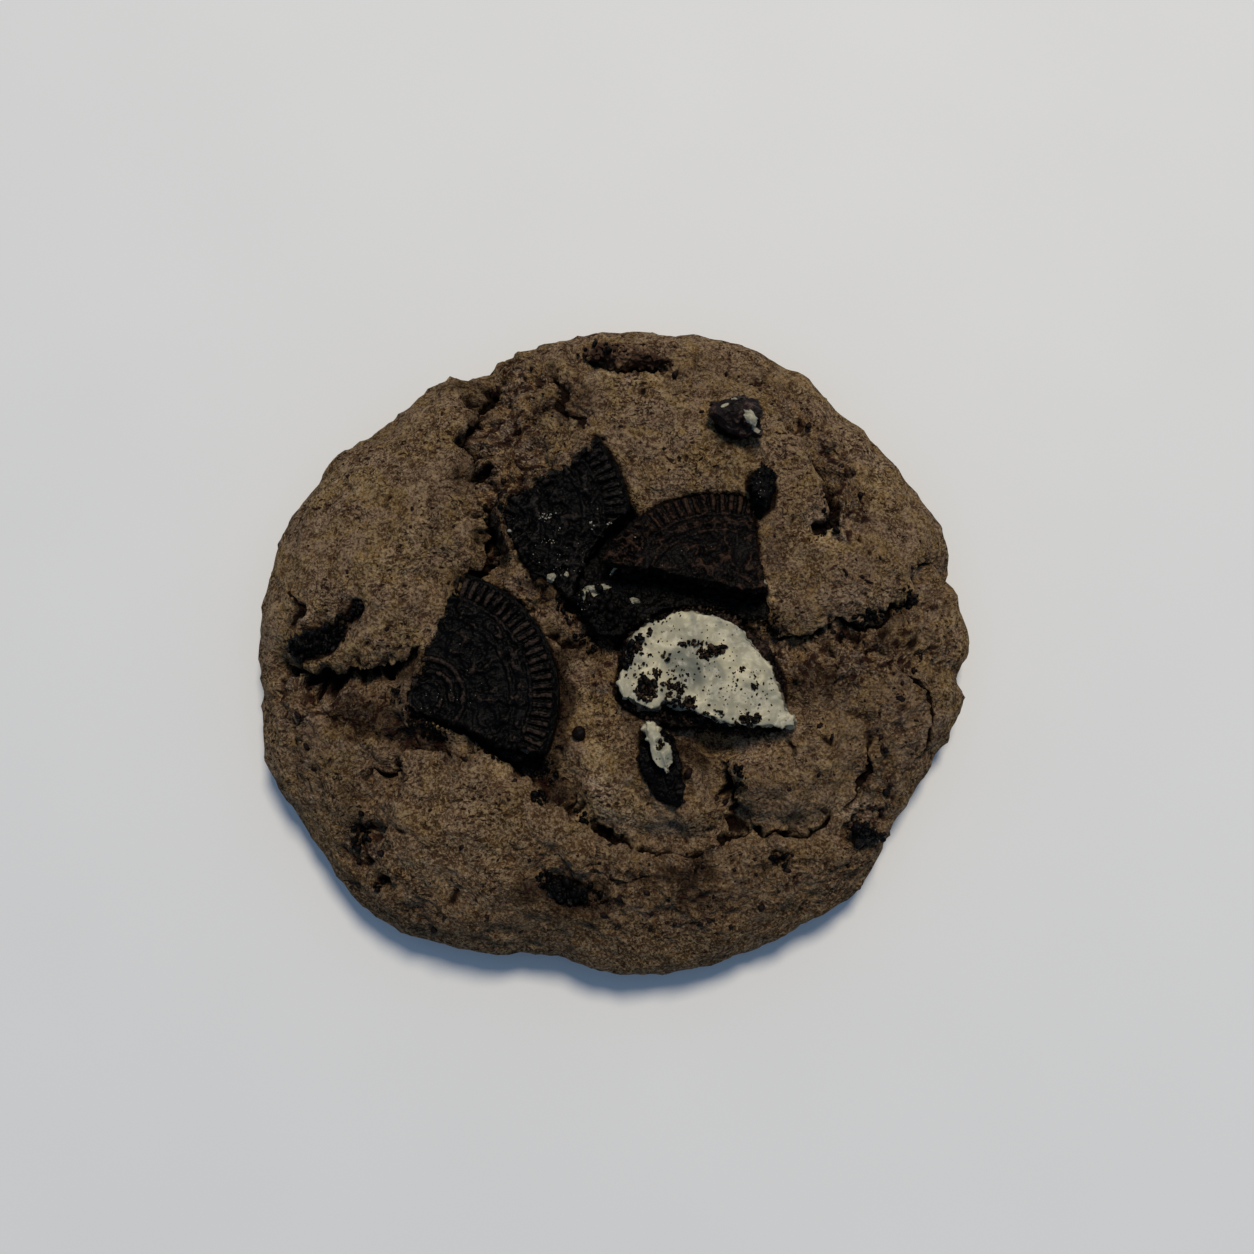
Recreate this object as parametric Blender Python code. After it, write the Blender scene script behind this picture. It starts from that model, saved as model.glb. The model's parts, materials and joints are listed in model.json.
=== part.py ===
"""A thick chocolate drop cookie, baked with broken pieces of dark sandwich biscuit pressed into its top.

Lengths are in millimetres up to the last step, which scales each mesh to metres. +X runs to the cookie's
right, +Y away from the eater and +Z up. The origin is on the table, under the middle of the dough.
Run it with: blender --background --python part.py
"""

import math

import bmesh
import bpy
import numpy as np
from mathutils import Matrix, Vector, noise

MM = 0.001

# Driving sizes of the dough
SPREAD_X = 125.0  # widest, left to right
SPREAD_Y = 114.6  # widest, front to back
CROWN = 17.0  # height of the dome between the swells
WIDEST_AT = 5.5  # height at which the side bulges furthest
FOOT_INSET = 0.05  # how far the foot draws in under the bulge, as a share of the reach
SHOULDER = 4.6  # power of the top's round: higher is flatter in the middle and fuller at the edge
DOUGH_CUTS = 18  # cuts along each edge of the cube that the dough starts from

# Driving sizes of the biscuits
BISCUIT_RADIUS = 22.2
CREAM_RADIUS = 20.4
WAFER_THICK = 2.9
CREAM_THICK = 1.7
CLEARANCE = 0.35  # gap between neighbours, so that no two solids touch
RIDGES = 80  # ribs round a whole biscuit's rim
RIDGE_HIGH = 0.35
RIM_INNER = 17.9  # the ribs run from here ...
RIM_OUTER = 21.5  # ... to here
RING_INNER = 15.6  # the raised ring inside the ribs
RING_OUTER = 16.9
RING_HIGH = 0.25
RIM_BEVEL = 0.5

# The edge wanders in and out of an ellipse: (bearing, half-width in degrees, reach in mm)
EDGE_WAVES = (
    (9, 6, -0.8),
    (38, 13, -1.1),
    (68, 10, 1.4),
    (106, 12, -1.4),
    (116, 3.6, -2.6),
    (137, 13, -3.1),
    (164, 8, 0.4),
    (202, 8, 2.0),
    (230, 15, 3.4),
    (258, 7, -2.3),
    (284, 12, 0.8),
    (331, 10, -3.0),
    (354, 2.5, -1.4),
    (147, 5, 1.8),
    (312, 6, 0.9),
)

# Swells of dough: (x, y, half-length, half-width, bearing of the length, height)
SWELLS = (
    (-39.5, 15.0, 27, 16.5, 62, 3.2),
    (15.0, 36.5, 26, 14, -10, 2.2),
    (42.0, 13.5, 15, 14, 10, 2.4),
    (-24.0, -38.0, 20, 16, 0, 2.6),
    (-50.0, -21.0, 13, 12, 90, 1.2),
    (4.0, -26.5, 12, 9, 0, 1.3),
    (31.5, -25.0, 12.5, 8.5, 10, 2.0),
    (49.5, -11.0, 16, 11, 80, 1.0),
    (8.0, -46.0, 27, 8, -4, 0.9),
    (-6.5, 2.5, 13, 5, -38, 1.2),
)

# Valleys where the crust split and sank: (half-width, depth, the points along it)
VALLEYS = (
    (4.0, 3.6, ((-24, 53), (-24, 37), (-25, 31), (-22, 24), (-20.5, 16), (-22, 11), (-27, 7))),
    (5.5, 1.6, ((-15, 50), (-15, 38), (-16, 30))),
    (2.0, 4.4, ((-58, -5), (-54, -7), (-49, -9), (-44.5, -8.5), (-40, -6.5), (-33, -5.5))),
    (2.0, 1.6, ((-11, -0.5), (-6.5, -2.5), (-2, -5), (1, -6))),
    (2.0, 2.0, ((-22, -19), (-30, -20), (-36.5, -20), (-37.5, -25), (-39.5, -29), (-40, -37))),
    (2.0, 2.2, ((-8.5, -23), (-6, -29), (-3, -33), (6, -35.3), (14, -35.6), (20, -32.5), (30, -33.4))),
    (2.0, 1.8, ((30, -33.4), (35, -31.5), (38, -29))),
    (2.2, 2.4, ((16, -20), (18, -27), (21, -32))),
    (2.6, 3.6, ((60, 17), (54, 9), (52.5, 5.5), (45, 2.5), (38, 0), (31, -2.5), (27, -1.5))),
    (2.4, 2.6, ((31, 43), (34.5, 36), (37, 31), (37.7, 25), (37, 20), (34, 17.5))),
    (2.2, 1.6, ((8, 52), (16, 50), (25.5, 45), (32, 38))),
    (3.0, 1.4, ((40, -12), (40, -24), (46, -32))),
)

# Hollows round the pieces that baked near the surface: (x, y, half-length, half-width, bearing, depth)
HOLLOWS = (
    (-50.4, -2.4, 7.4, 3.4, 20, 1.8),
    (-44.6, 2.0, 3.0, 2.4, 60, 0.8),
    (3.0, 50.0, 10.5, 3.4, -8, 3.0),
    (-8.4, -43.0, 7.0, 3.4, -18, 2.0),
    (41.8, -34.0, 4.5, 2.8, -8, 1.4),
    (2.0, 1.0, 12.0, 6.0, -12, 4.2),
    (18.0, -19.2, 9.0, 2.4, -8, 3.0),
    (-14.0, -25.0, 7.0, 3.4, -20, 2.4),
)

# The middle of each biscuit's upper face, and how much the face rises for each millimetre along X and Y
PLACE_LEFT = ((-31.2, -12.2, 17.6), (0.09, -0.03))
PLACE_TOP = ((-19.3, 18.0, 18.2), (0.03, 0.04))
PLACE_MID = ((18.8, 2.3, 21.4), (-0.08, -0.22))
PLACE_MID_BASE = ((15.4, 1.4, 21.7), (-0.08, -0.22))
PLACE_DISC = ((13.6, -11.8, 20.4), (0.0, -0.09))
DISC_CREAM_RADIUS = 17.4
DISC_CREAM_THICK = 2.6
DISC_BASE_RADIUS = 15.3

# What is left of each layer, as corners of its outline, which passes outside the rim where the rim is whole
WAFER_LEFT_OUTLINE = (
    *((-25, 13), (-28.5, 4), (-32, -5), (-35.2, -11.5), (-34.4, -13.6), (-28.6, -16), (-24.5, -17.2)),
    *((-21.9, -18.8), (-18.6, -20.4), (-14.5, -20.7), (-12, -21.6), (-4, -22), (-4, 4), (-14, 13)),
)
CREAM_LEFT_OUTLINE = (
    *((-25, 13), (-29, 4), (-33, -7), (-29, -13.4), (-24.4, -15.2), (-21, -17.6), (-19.6, -20)),
    *((-18.2, -21.4), (-15.2, -22), (-13.6, -20.6), (-11.4, -18.6), (-4, -16), (-4, 4), (-14, 13)),
)
BASE_LEFT_OUTLINE = (
    *((-25, 13), (-29, 4), (-34, -9), (-30, -16.6), (-24, -18.8), (-20.4, -21.8), (-16, -24)),
    *((-12.6, -26.6), (-9, -28), (-4, -22), (-4, 4), (-14, 13)),
)
WAFER_TOP_OUTLINE = (
    *((-1, 35), (-6.6, 29.2), (-9.2, 26.3), (-12.6, 25.1), (-15.5, 23), (-18, 21.8), (-19, 19.6)),
    *((-17.9, 16.8), (-16.7, 13.2), (-13.7, 9), (-10, 7.2), (-6, 3.4), (0, 2), (5, 8), (5, 30)),
)
WAFER_MID_OUTLINE = (
    *((22.6, 27), (24.2, 18), (24.6, 11.5), (25.9, 5.8), (21.4, 5.6), (17, 6.8), (11.3, 7.7), (6.2, 9.2)),
    *((1.6, 9.4), (-2.4, 10.4), (-7, 10.6), (-6, 24), (8, 29)),
)
CREAM_MID_OUTLINE = (
    *((22, 27), (23.6, 11.5), (23.8, 7.6), (20.4, 7.4), (15.4, 8.6), (9.6, 9.8), (5.4, 10.8)),
    *((1.2, 10.6), (-1.6, 7.2), (-6, 8), (-6, 24), (8, 29)),
)
BASE_MID_OUTLINE = (
    *((22, 27), (24.6, 11.5), (27, 4), (26.6, 1), (20, 0.6), (14, 1.4), (8.6, 0.2), (3, -2), (-2, -2)),
    *((-4.6, 0.8), (-6.8, 5.2), (-7.2, 9), (-6, 24), (8, 29)),
)
CREAM_DISC_OUTLINE = (
    *((29.8, -16.4), (29.6, -17.4), (24.6, -17.3), (20.2, -17.2), (14.4, -15.3), (10.6, -14.0)),
    *((8.4, -12.6), (6.1, -14.6), (1.8, -12.4), (0.7, -10.4), (2.2, -6), (3.4, -2.4), (6.2, 0.0)),
    *((9.4, 1.3), (13.4, 2.0), (17.4, 1.5), (21.4, -0.6), (24.2, -4.4), (26.2, -8.2), (27.6, -12.0)),
)
BASE_DISC_OUTLINE = (
    *((34, -10), (30, -15), (27.6, -17.4), (23.5, -17.9), (20, -18), (14.4, -17.4), (10, -17.2)),
    *((6.4, -16), (2, -13.8), (0.2, -11.2), (1.2, -6.4), (1.2, -2.6), (3.2, 1.6), (8, 8), (34, 8)),
)


def lump(x, y, z, long, wide, high, bearing, seed, subdivisions=2):
    """A small uneven lump: its middle, its length, width and height, and which way its length points."""
    middle, size = (x, y, z), (long, wide, high)
    return {"middle": middle, "size": size, "bearing": bearing, "seed": seed, "subdivisions": subdivisions}


LUMPS = {
    "shard_upright": lump(7.9, -23.3, 18.0, 13.8, 6.6, 7.0, -74, 3, 3),
    "cream_upright": lump(7.3, -20.8, 21.0, 9.6, 3.2, 2.8, -65, 23),
    "nugget": lump(21.4, 36.2, 20.4, 9.8, 7.4, 6.2, -16, 5, 3),
    "crumb_lump": lump(25.2, 23.4, 18.8, 9.2, 5.2, 6.0, 76, 8),
    "chunk_left": lump(-50.4, -2.6, 14.9, 11.4, 4.6, 4.8, 20, 11),
    "chunk_inner": lump(-43.2, 3.0, 16.4, 3.6, 2.8, 3.6, 50, 14),
    "chunk_back": lump(2.5, 50.0, 12.9, 16.0, 4.6, 4.8, -8, 13),
    "chunk_front": lump(-8.0, -43.8, 13.4, 8.2, 4.2, 4.6, -20, 17),
    "chunk_right": lump(42.2, -34.2, 12.8, 6.6, 3.0, 4.0, -10, 19),
}


def reach(bearing):
    """How far the cookie's edge is from its middle, towards each bearing in radians."""
    a, b = SPREAD_X / 2, SPREAD_Y / 2
    out = a * b / np.hypot(b * np.cos(bearing), a * np.sin(bearing))
    for centre, half_width, swing in EDGE_WAVES:
        away = np.angle(np.exp(1j * (bearing - math.radians(centre))))
        out = out + swing * np.exp(-((away / math.radians(half_width)) ** 2))
    return out


def oval(x, y, cx, cy, long, wide, bearing):
    """Distance from an oval's middle, as a share of its half-axes: 1 is on its outline."""
    turn = math.radians(bearing)
    u = (x - cx) * math.cos(turn) + (y - cy) * math.sin(turn)
    v = (y - cy) * math.cos(turn) - (x - cx) * math.sin(turn)
    return np.hypot(u / long, v / wide)


def distance_to(points, x, y):
    """Distance from each (x, y) to a line through the points."""
    nearest = np.full(x.shape, np.inf)
    for (ax, ay), (bx, by) in zip(points, points[1:]):
        dx, dy = bx - ax, by - ay
        share = np.clip(((x - ax) * dx + (y - ay) * dy) / (dx * dx + dy * dy), 0, 1)
        nearest = np.minimum(nearest, np.hypot(x - ax - share * dx, y - ay - share * dy))
    return nearest


def crust_height(x, y):
    """Height of the crust above the table, before it rounds off at the edge."""
    top = np.full(x.shape, CROWN)
    for cx, cy, long, wide, bearing, height in SWELLS:
        top += height * np.exp(-(oval(x, y, cx, cy, long, wide, bearing) ** 4))
    for half_width, depth, points in VALLEYS:
        top -= depth * np.exp(-((distance_to(points, x, y) / half_width) ** 2))
    for cx, cy, long, wide, bearing, depth in HOLLOWS:
        top -= depth * np.exp(-(oval(x, y, cx, cy, long, wide, bearing) ** 4))
    return top


def side_profile(steps=400):
    """The dough's half-section as shares of its arc length, reach and height, from the middle of the top to
    the foot. A height above the bulge is a share of the crust's there, and one below it of WIDEST_AT."""
    turn = np.linspace(0, math.pi / 2, steps)
    foot_turn = turn[1:]
    foot_reach = 1 - FOOT_INSET * (1 - np.cos(foot_turn))
    reach_share = np.concatenate([np.sin(turn) ** (2 / SHOULDER), foot_reach])
    height_share = np.concatenate([np.cos(turn), -np.sin(foot_turn)])
    run = np.diff(reach_share) * SPREAD_X / 2
    rise = np.diff(height_share) * np.where(height_share[1:] > 0, CROWN - WIDEST_AT, WIDEST_AT)
    along = np.concatenate([[0], np.cumsum(np.hypot(run, rise))])
    return along / along[-1], reach_share, height_share


def block_ball(cuts):
    """A ball of nearly even squares: a cube with its edges cut, and every corner moved to one radius."""
    bm = bmesh.new()
    bmesh.ops.create_cube(bm, size=2)
    bmesh.ops.subdivide_edges(bm, edges=bm.edges, cuts=cuts, use_grid_fill=True)
    for vert in bm.verts:
        vert.co = Vector([math.tan(side * math.pi / 4) for side in vert.co]).normalized()
    return bm


def baked_dough():
    """The baked dough: a ball pressed out to the cookie's outline, and cut off flat where it lay."""
    foot_turn = math.radians(152)  # the ball's angle from the top at which the foot meets the sheet
    below = -1.0  # how low the foot hangs before the flat cut
    ripple_size = 9.0  # width of the crust's small waves
    ripple_high = 0.7
    bm = block_ball(DOUGH_CUTS)
    ball = np.array([vert.co for vert in bm.verts])
    bearing = np.arctan2(ball[:, 1], ball[:, 0])
    turn = np.arccos(np.clip(ball[:, 2], -1, 1))
    along, reach_share, height_share = side_profile()
    out = np.interp(turn / foot_turn, along, reach_share) * reach(bearing)
    out *= np.clip((math.pi - turn) / (math.pi - foot_turn), 0, 1) ** 0.5
    x, y = out * np.cos(bearing), out * np.sin(bearing)
    rise = np.interp(turn / foot_turn, along, height_share)
    spots = [Vector((a, b, c * CROWN)) / ripple_size for a, b, c in zip(x, y, rise)]
    ripple = np.array([noise.fractal(spot, 0.8, 2.0, 3) for spot in spots])
    z = WIDEST_AT + rise * np.where(rise > 0, crust_height(x, y) - WIDEST_AT, WIDEST_AT - below)
    z += ripple_high * ripple * np.clip(rise * 2, 0, 1)
    for vert, place in zip(bm.verts, zip(x, y, z)):
        vert.co = place
    everything = [*bm.verts, *bm.edges, *bm.faces]
    bmesh.ops.bisect_plane(bm, geom=everything, dist=1e-4, plane_no=(0, 0, 1), clear_inner=True)
    bmesh.ops.holes_fill(bm, edges=[edge for edge in bm.edges if edge.is_boundary])
    middle = [(min(side) + max(side)) / 2 for side in zip(*[vert.co.xy for vert in bm.verts])]
    bmesh.ops.translate(bm, vec=(-middle[0], -middle[1], 0), verts=bm.verts)
    return bm


def turned_disc(profile, segments):
    """A disc spun from the (radius, height) points of its half-section, from axis to axis."""
    bm = bmesh.new()
    verts = [bm.verts.new((radius, 0, height)) for radius, height in profile]
    edges = [bm.edges.new(pair) for pair in zip(verts, verts[1:])]
    bmesh.ops.spin(bm, geom=verts + edges, axis=(0, 0, 1), angle=math.tau, steps=segments, use_merge=True)
    bmesh.ops.remove_doubles(bm, verts=bm.verts, dist=1e-4)
    bmesh.ops.recalc_face_normals(bm, faces=bm.faces)
    return bm


def lay(bm, place, drop=0.0):
    """Tilts a flat piece about its own middle and moves it into its place, or below it by the drop."""
    (x, y, z), (slope_x, slope_y) = place
    normal = Vector((-slope_x, -slope_y, 1)).normalized()
    turned = Vector((0, 0, 1)).rotation_difference(normal).to_matrix().to_4x4()
    bmesh.ops.transform(bm, matrix=Matrix.Translation((x, y, z - drop)) @ turned, verts=bm.verts)
    return bm


def plain_disc(radius, thick, segments=40):
    """A flat round layer whose upper face is at 0."""
    return turned_disc([(0, 0), (radius, 0), (radius, -thick), (0, -thick)], segments)


def raise_lid(bm, height=14.0):
    """Draws the upper face of a flat piece straight up, whatever its tilt."""
    lid = [face for face in bm.faces if face.normal.z > 0.5]
    risen = bmesh.ops.extrude_face_region(bm, geom=lid)
    tops = [item for item in risen["geom"] if isinstance(item, bmesh.types.BMVert)]
    bmesh.ops.translate(bm, vec=(0, 0, height), verts=tops)
    bmesh.ops.delete(bm, geom=lid, context="FACES")
    return bm


def ribbed_disc():
    """A whole embossed biscuit: a disc with a raised ring and a rim of radial ribs."""
    profile = [
        (0, 0),
        (RING_INNER, 0),
        (RING_INNER + RING_HIGH, RING_HIGH),
        (RING_OUTER - RING_HIGH, RING_HIGH),
        (RING_OUTER, 0),
        (RIM_INNER, 0),
        (RIM_OUTER, 0),
        (BISCUIT_RADIUS, -RIM_BEVEL),
        (BISCUIT_RADIUS, -WAFER_THICK),
        (0, -WAFER_THICK),
    ]
    bm = turned_disc(profile, 2 * RIDGES)
    band_middle = (RIM_INNER + RIM_OUTER) / 2
    band = [face for face in bm.faces if abs(face.calc_center_median().xy.length - band_middle) < 0.5]
    upper = [face for face in band if face.normal.z > 0.9]
    upper.sort(key=lambda face: math.atan2(*face.calc_center_median().xy))
    bmesh.ops.inset_individual(bm, faces=upper[::2], thickness=0.16, depth=RIDGE_HIGH)
    bmesh.ops.dissolve_limit(bm, angle_limit=math.radians(1), verts=bm.verts, edges=bm.edges)
    return bm


def moved_out(corners, grow):
    """An outline with every side moved outwards: each corner goes along the mitre of its two sides."""
    sides = list(zip(corners, corners[1:] + corners[:1]))
    turn = math.copysign(grow, sum(ax * by - bx * ay for (ax, ay), (bx, by) in sides))
    steps = [Vector((by - ay, ax - bx)).normalized() * turn for (ax, ay), (bx, by) in sides]
    mitres = [before + after for before, after in zip(steps[-1:] + steps[:-1], steps)]
    lengths = [step.dot(step) / mitre.dot(step) for mitre, step in zip(mitres, steps)]
    return [Vector(corner) + mitre * length for corner, mitre, length in zip(corners, mitres, lengths)]


def outline_block(corners, grow=0.0):
    """An upright block that stands on an outline, moved outwards by what it grows."""
    floor, height = 2.0, 40.0
    bm = bmesh.new()
    outline = moved_out(corners, grow) if grow else corners
    bm.faces.new([bm.verts.new((x, y, floor)) for x, y in outline])
    risen = bmesh.ops.extrude_face_region(bm, geom=bm.faces[:])
    tops = [item for item in risen["geom"] if isinstance(item, bmesh.types.BMVert)]
    bmesh.ops.translate(bm, vec=(0, 0, height), verts=tops)
    return bm


def dented_ball(shape, grow=0.0):
    """A rough lump: a ball stretched to the lump's size, with dents from noise."""
    dents = 0.38  # depth of the dents, as a share of the lump's size
    bm = bmesh.new()
    bmesh.ops.create_icosphere(bm, subdivisions=shape["subdivisions"], radius=1)
    offset = Vector((shape["seed"] * 3.7, shape["seed"] * 1.9, 0))
    half = Vector(shape["size"]) / 2
    for vert in bm.verts:
        swell = 1 + dents * noise.fractal(vert.co * 1.3 + offset, 0.9, 2.0, 3)
        vert.co = Vector([side * (swell * size + grow) for side, size in zip(vert.co, half)])
    turned = Matrix.Rotation(math.radians(shape["bearing"]), 4, "Z")
    bmesh.ops.transform(bm, matrix=Matrix.Translation(shape["middle"]) @ turned, verts=bm.verts)
    return bm


def material(name, colour, roughness):
    """A material with a plain Principled surface: the colour is linear RGB."""
    made = bpy.data.materials.new(name)
    made.use_nodes = True
    surface = made.node_tree.nodes["Principled BSDF"]
    surface.inputs["Base Color"].default_value = (*colour, 1)
    surface.inputs["Roughness"].default_value = roughness
    return made


def placed(name, bm, finish=None):
    """Makes a named object in metres of a bmesh in millimetres. Without a finish it only cuts the others."""
    bmesh.ops.recalc_face_normals(bm, faces=bm.faces)
    bmesh.ops.scale(bm, vec=(MM, MM, MM), verts=bm.verts)
    mesh = bpy.data.meshes.new(name)
    bm.to_mesh(mesh)
    bm.free()
    mesh.shade_smooth()
    mesh.set_sharp_from_angle(angle=math.radians(40))
    obj = bpy.data.objects.new(name, mesh)
    bpy.context.scene.collection.objects.link(obj)
    if finish:
        mesh.materials.append(finish)
    else:
        obj.hide_render = True
        obj.display_type = "WIRE"
    return obj


def combine(obj, operation, *others):
    """Adds a Boolean for each of the other objects."""
    for other in others:
        modifier = obj.modifiers.new(operation.lower() + "_" + other.name, "BOOLEAN")
        modifier.operation = operation
        modifier.solver = "EXACT"
        modifier.object = other


def broken_layer(name, disc, radius, thick, place, drop, outline, finish):
    """One layer of a broken biscuit and its cutter, which is larger by the clearance and open above."""
    layer = placed(name, lay(disc, place, drop), finish)
    combine(layer, "INTERSECT", placed("keep_" + name, outline_block(outline)))
    grown = lay(plain_disc(radius + CLEARANCE, thick + CLEARANCE), place, drop)
    cutter = placed("bed_" + name, raise_lid(grown))
    combine(cutter, "INTERSECT", placed("room_" + name, outline_block(outline, CLEARANCE)))
    return layer, cutter


def build():
    for obj in list(bpy.data.objects):
        bpy.data.objects.remove(obj)
    crust = material("cocoa_dough", (0.085, 0.052, 0.028), 0.85)
    dark = material("dark_biscuit", (0.010, 0.0065, 0.0045), 0.55)
    cream = material("vanilla_cream", (0.60, 0.56, 0.42), 0.5)
    chocolate = material("dark_chunk", (0.020, 0.010, 0.007), 0.45)

    below_wafer = WAFER_THICK + CLEARANCE
    below_cream = below_wafer + CREAM_THICK + CLEARANCE
    below_disc = DISC_CREAM_THICK + CLEARANCE
    upper = {
        "wafer_left": (PLACE_LEFT, WAFER_LEFT_OUTLINE),
        "wafer_top": (PLACE_TOP, WAFER_TOP_OUTLINE),
        "wafer_mid": (PLACE_MID, WAFER_MID_OUTLINE),
    }
    lower = {
        "cream_left": (CREAM_RADIUS, CREAM_THICK, PLACE_LEFT, below_wafer, CREAM_LEFT_OUTLINE, cream),
        "base_left": (BISCUIT_RADIUS, WAFER_THICK, PLACE_LEFT, below_cream, BASE_LEFT_OUTLINE, dark),
        "cream_mid": (CREAM_RADIUS, CREAM_THICK, PLACE_MID, below_wafer, CREAM_MID_OUTLINE, cream),
        "base_mid": (BISCUIT_RADIUS, WAFER_THICK, PLACE_MID_BASE, below_cream, BASE_MID_OUTLINE, dark),
        "cream_disc": (DISC_CREAM_RADIUS, DISC_CREAM_THICK, PLACE_DISC, 0, CREAM_DISC_OUTLINE, cream),
        "base_disc": (DISC_BASE_RADIUS, WAFER_THICK, PLACE_DISC, below_disc, BASE_DISC_OUTLINE, dark),
    }

    cookie = placed("dough", baked_dough(), crust)
    pieces, cutters = {}, {}
    for name, (place, outline) in upper.items():
        pieces[name], cutters[name] = broken_layer(
            name, ribbed_disc(), BISCUIT_RADIUS, WAFER_THICK, place, 0, outline, dark
        )
    for name, (radius, thick, place, drop, outline, finish) in lower.items():
        pieces[name], cutters[name] = broken_layer(
            name, plain_disc(radius, thick), radius, thick, place, drop, outline, finish
        )
    for name, shape in LUMPS.items():
        finish = chocolate if name.startswith("chunk") else cream if name.startswith("cream") else dark
        pieces[name] = placed(name, dented_ball(shape), finish)
        cutters[name] = placed("bed_" + name, dented_ball(shape, CLEARANCE))

    middle_stack = [cutters[name] for name in ("wafer_mid", "cream_mid", "base_mid")]
    combine(cookie, "DIFFERENCE", *cutters.values())
    combine(pieces["wafer_top"], "DIFFERENCE", *middle_stack)
    combine(pieces["crumb_lump"], "DIFFERENCE", *middle_stack)
    combine(pieces["base_mid"], "DIFFERENCE", cutters["base_disc"], cutters["cream_disc"])
    combine(pieces["cream_mid"], "DIFFERENCE", cutters["cream_disc"])
    combine(pieces["shard_upright"], "DIFFERENCE", cutters["cream_upright"])


build()
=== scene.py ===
# %% [markdown]
# # A chocolate cookie with broken sandwich biscuits baked into its top
#
# The real thing starts as a ball of cocoa dough with broken sandwich biscuits pressed into it. In the oven the
# ball sinks and spreads, its crust sets and splits, and the pieces of biscuit and their vanilla cream stay
# where they were pushed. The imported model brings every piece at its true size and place. This lesson gives
# each one the surface that it has on the real cookie: a cracked crust, embossed wafers, soft cream and crumbs.

# %% Load the frame
import json
import math
import random

import bmesh
import bpy
import numpy as np
from mathutils import Matrix, Vector, noise
from mathutils.bvhtree import BVHTree

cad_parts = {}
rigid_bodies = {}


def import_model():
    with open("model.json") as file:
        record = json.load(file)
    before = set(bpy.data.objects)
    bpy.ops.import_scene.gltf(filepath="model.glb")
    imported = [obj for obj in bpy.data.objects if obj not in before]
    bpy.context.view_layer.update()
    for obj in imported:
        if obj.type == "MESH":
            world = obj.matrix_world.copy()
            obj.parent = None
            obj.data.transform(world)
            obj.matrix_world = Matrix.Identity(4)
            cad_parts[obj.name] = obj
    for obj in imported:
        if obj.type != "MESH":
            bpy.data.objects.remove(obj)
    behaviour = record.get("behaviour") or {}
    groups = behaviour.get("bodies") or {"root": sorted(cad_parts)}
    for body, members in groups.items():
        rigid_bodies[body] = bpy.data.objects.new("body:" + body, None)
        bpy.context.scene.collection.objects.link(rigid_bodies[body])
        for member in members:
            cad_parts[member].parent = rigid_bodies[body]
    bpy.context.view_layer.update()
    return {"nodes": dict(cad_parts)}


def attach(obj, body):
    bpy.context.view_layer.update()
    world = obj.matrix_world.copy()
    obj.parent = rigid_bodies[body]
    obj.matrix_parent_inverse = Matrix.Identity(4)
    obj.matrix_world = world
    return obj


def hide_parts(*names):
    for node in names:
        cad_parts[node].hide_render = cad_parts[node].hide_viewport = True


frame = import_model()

print("nodes in the frame:", len(frame["nodes"]))

# %% [markdown]
# ## Camera
#
# A cookie on a table is mostly seen from above. The camera looks down at it steeply from the eater's side,
# from just over 20 cm. Lengths in this lesson are in millimetres, and each finished mesh is scaled to metres.

# %% The camera
MM = 0.001
LENS = 38.0
ELEVATION = math.radians(78.5)
AIM = Vector((2.317, 0.894, 12.0))
CAMERA_AWAY = 228.2

scene = bpy.context.scene
towards_camera = Vector((0, -math.cos(ELEVATION), math.sin(ELEVATION)))
camera = bpy.data.objects.new("camera", bpy.data.cameras.new("camera"))
camera.data.lens = LENS
camera.data.clip_start = 0.01
camera.location = (AIM + CAMERA_AWAY * towards_camera) * MM
camera.rotation_euler = (math.pi / 2 - ELEVATION, 0, 0)
scene.collection.objects.link(camera)
scene.camera = camera
print("camera stands at", [round(side, 3) for side in camera.location])

# %% [markdown]
# ## Light and floor
#
# One wide, slightly warm lamp stands high behind the cookie, and a pale blue surround fills the shadows. A wide
# lamp gives shadows with soft edges, and its height lets the relief of the crust and the biscuits show. The
# floor is a plain pale sheet.

# %% The lamp, the surround and the floor
LAMP_BEARING = math.radians(75)
LAMP_HEIGHT = math.radians(62)
LAMP_AWAY = 2.0
LAMP_WIDE = 0.6
LAMP_POWER = 28.0
FLOOR_SIZE = 4.0

scene.view_settings.view_transform = "Standard"
lamp_data = bpy.data.lights.new("key_lamp", "AREA")
lamp_data.shape = "DISK"
lamp_data.size = LAMP_WIDE
lamp_data.energy = LAMP_POWER
lamp_data.color = (1.0, 0.89, 0.73)
lamp = bpy.data.objects.new("key_lamp", lamp_data)
towards_lamp = Vector((
    math.cos(LAMP_BEARING) * math.cos(LAMP_HEIGHT),
    math.sin(LAMP_BEARING) * math.cos(LAMP_HEIGHT),
    math.sin(LAMP_HEIGHT),
))
lamp.location = towards_lamp * LAMP_AWAY
lamp.rotation_euler = towards_lamp.to_track_quat("Z", "Y").to_euler()
scene.collection.objects.link(lamp)

world = bpy.data.worlds.new("surround")
world.use_nodes = True
world.node_tree.nodes["Background"].inputs["Color"].default_value = (0.13, 0.20, 0.31, 1)
scene.world = world

sheet = bmesh.new()
bmesh.ops.create_grid(sheet, x_segments=1, y_segments=1, size=FLOOR_SIZE / 2)
floor = bpy.data.objects.new("floor", bpy.data.meshes.new("floor"))
sheet.to_mesh(floor.data)
sheet.free()
scene.collection.objects.link(floor)
print("lamp", LAMP_WIDE, "m wide and floor", FLOOR_SIZE, "m wide")

# %% [markdown]
# ## A helper for materials
#
# Each finish is a small tree of nodes over a Principled surface. The helper makes one node, sets its inputs to
# numbers or links them to other nodes, and the finishes below read like recipes. All patterns are measured in
# millimetres over the piece's own Object coordinates.

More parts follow.
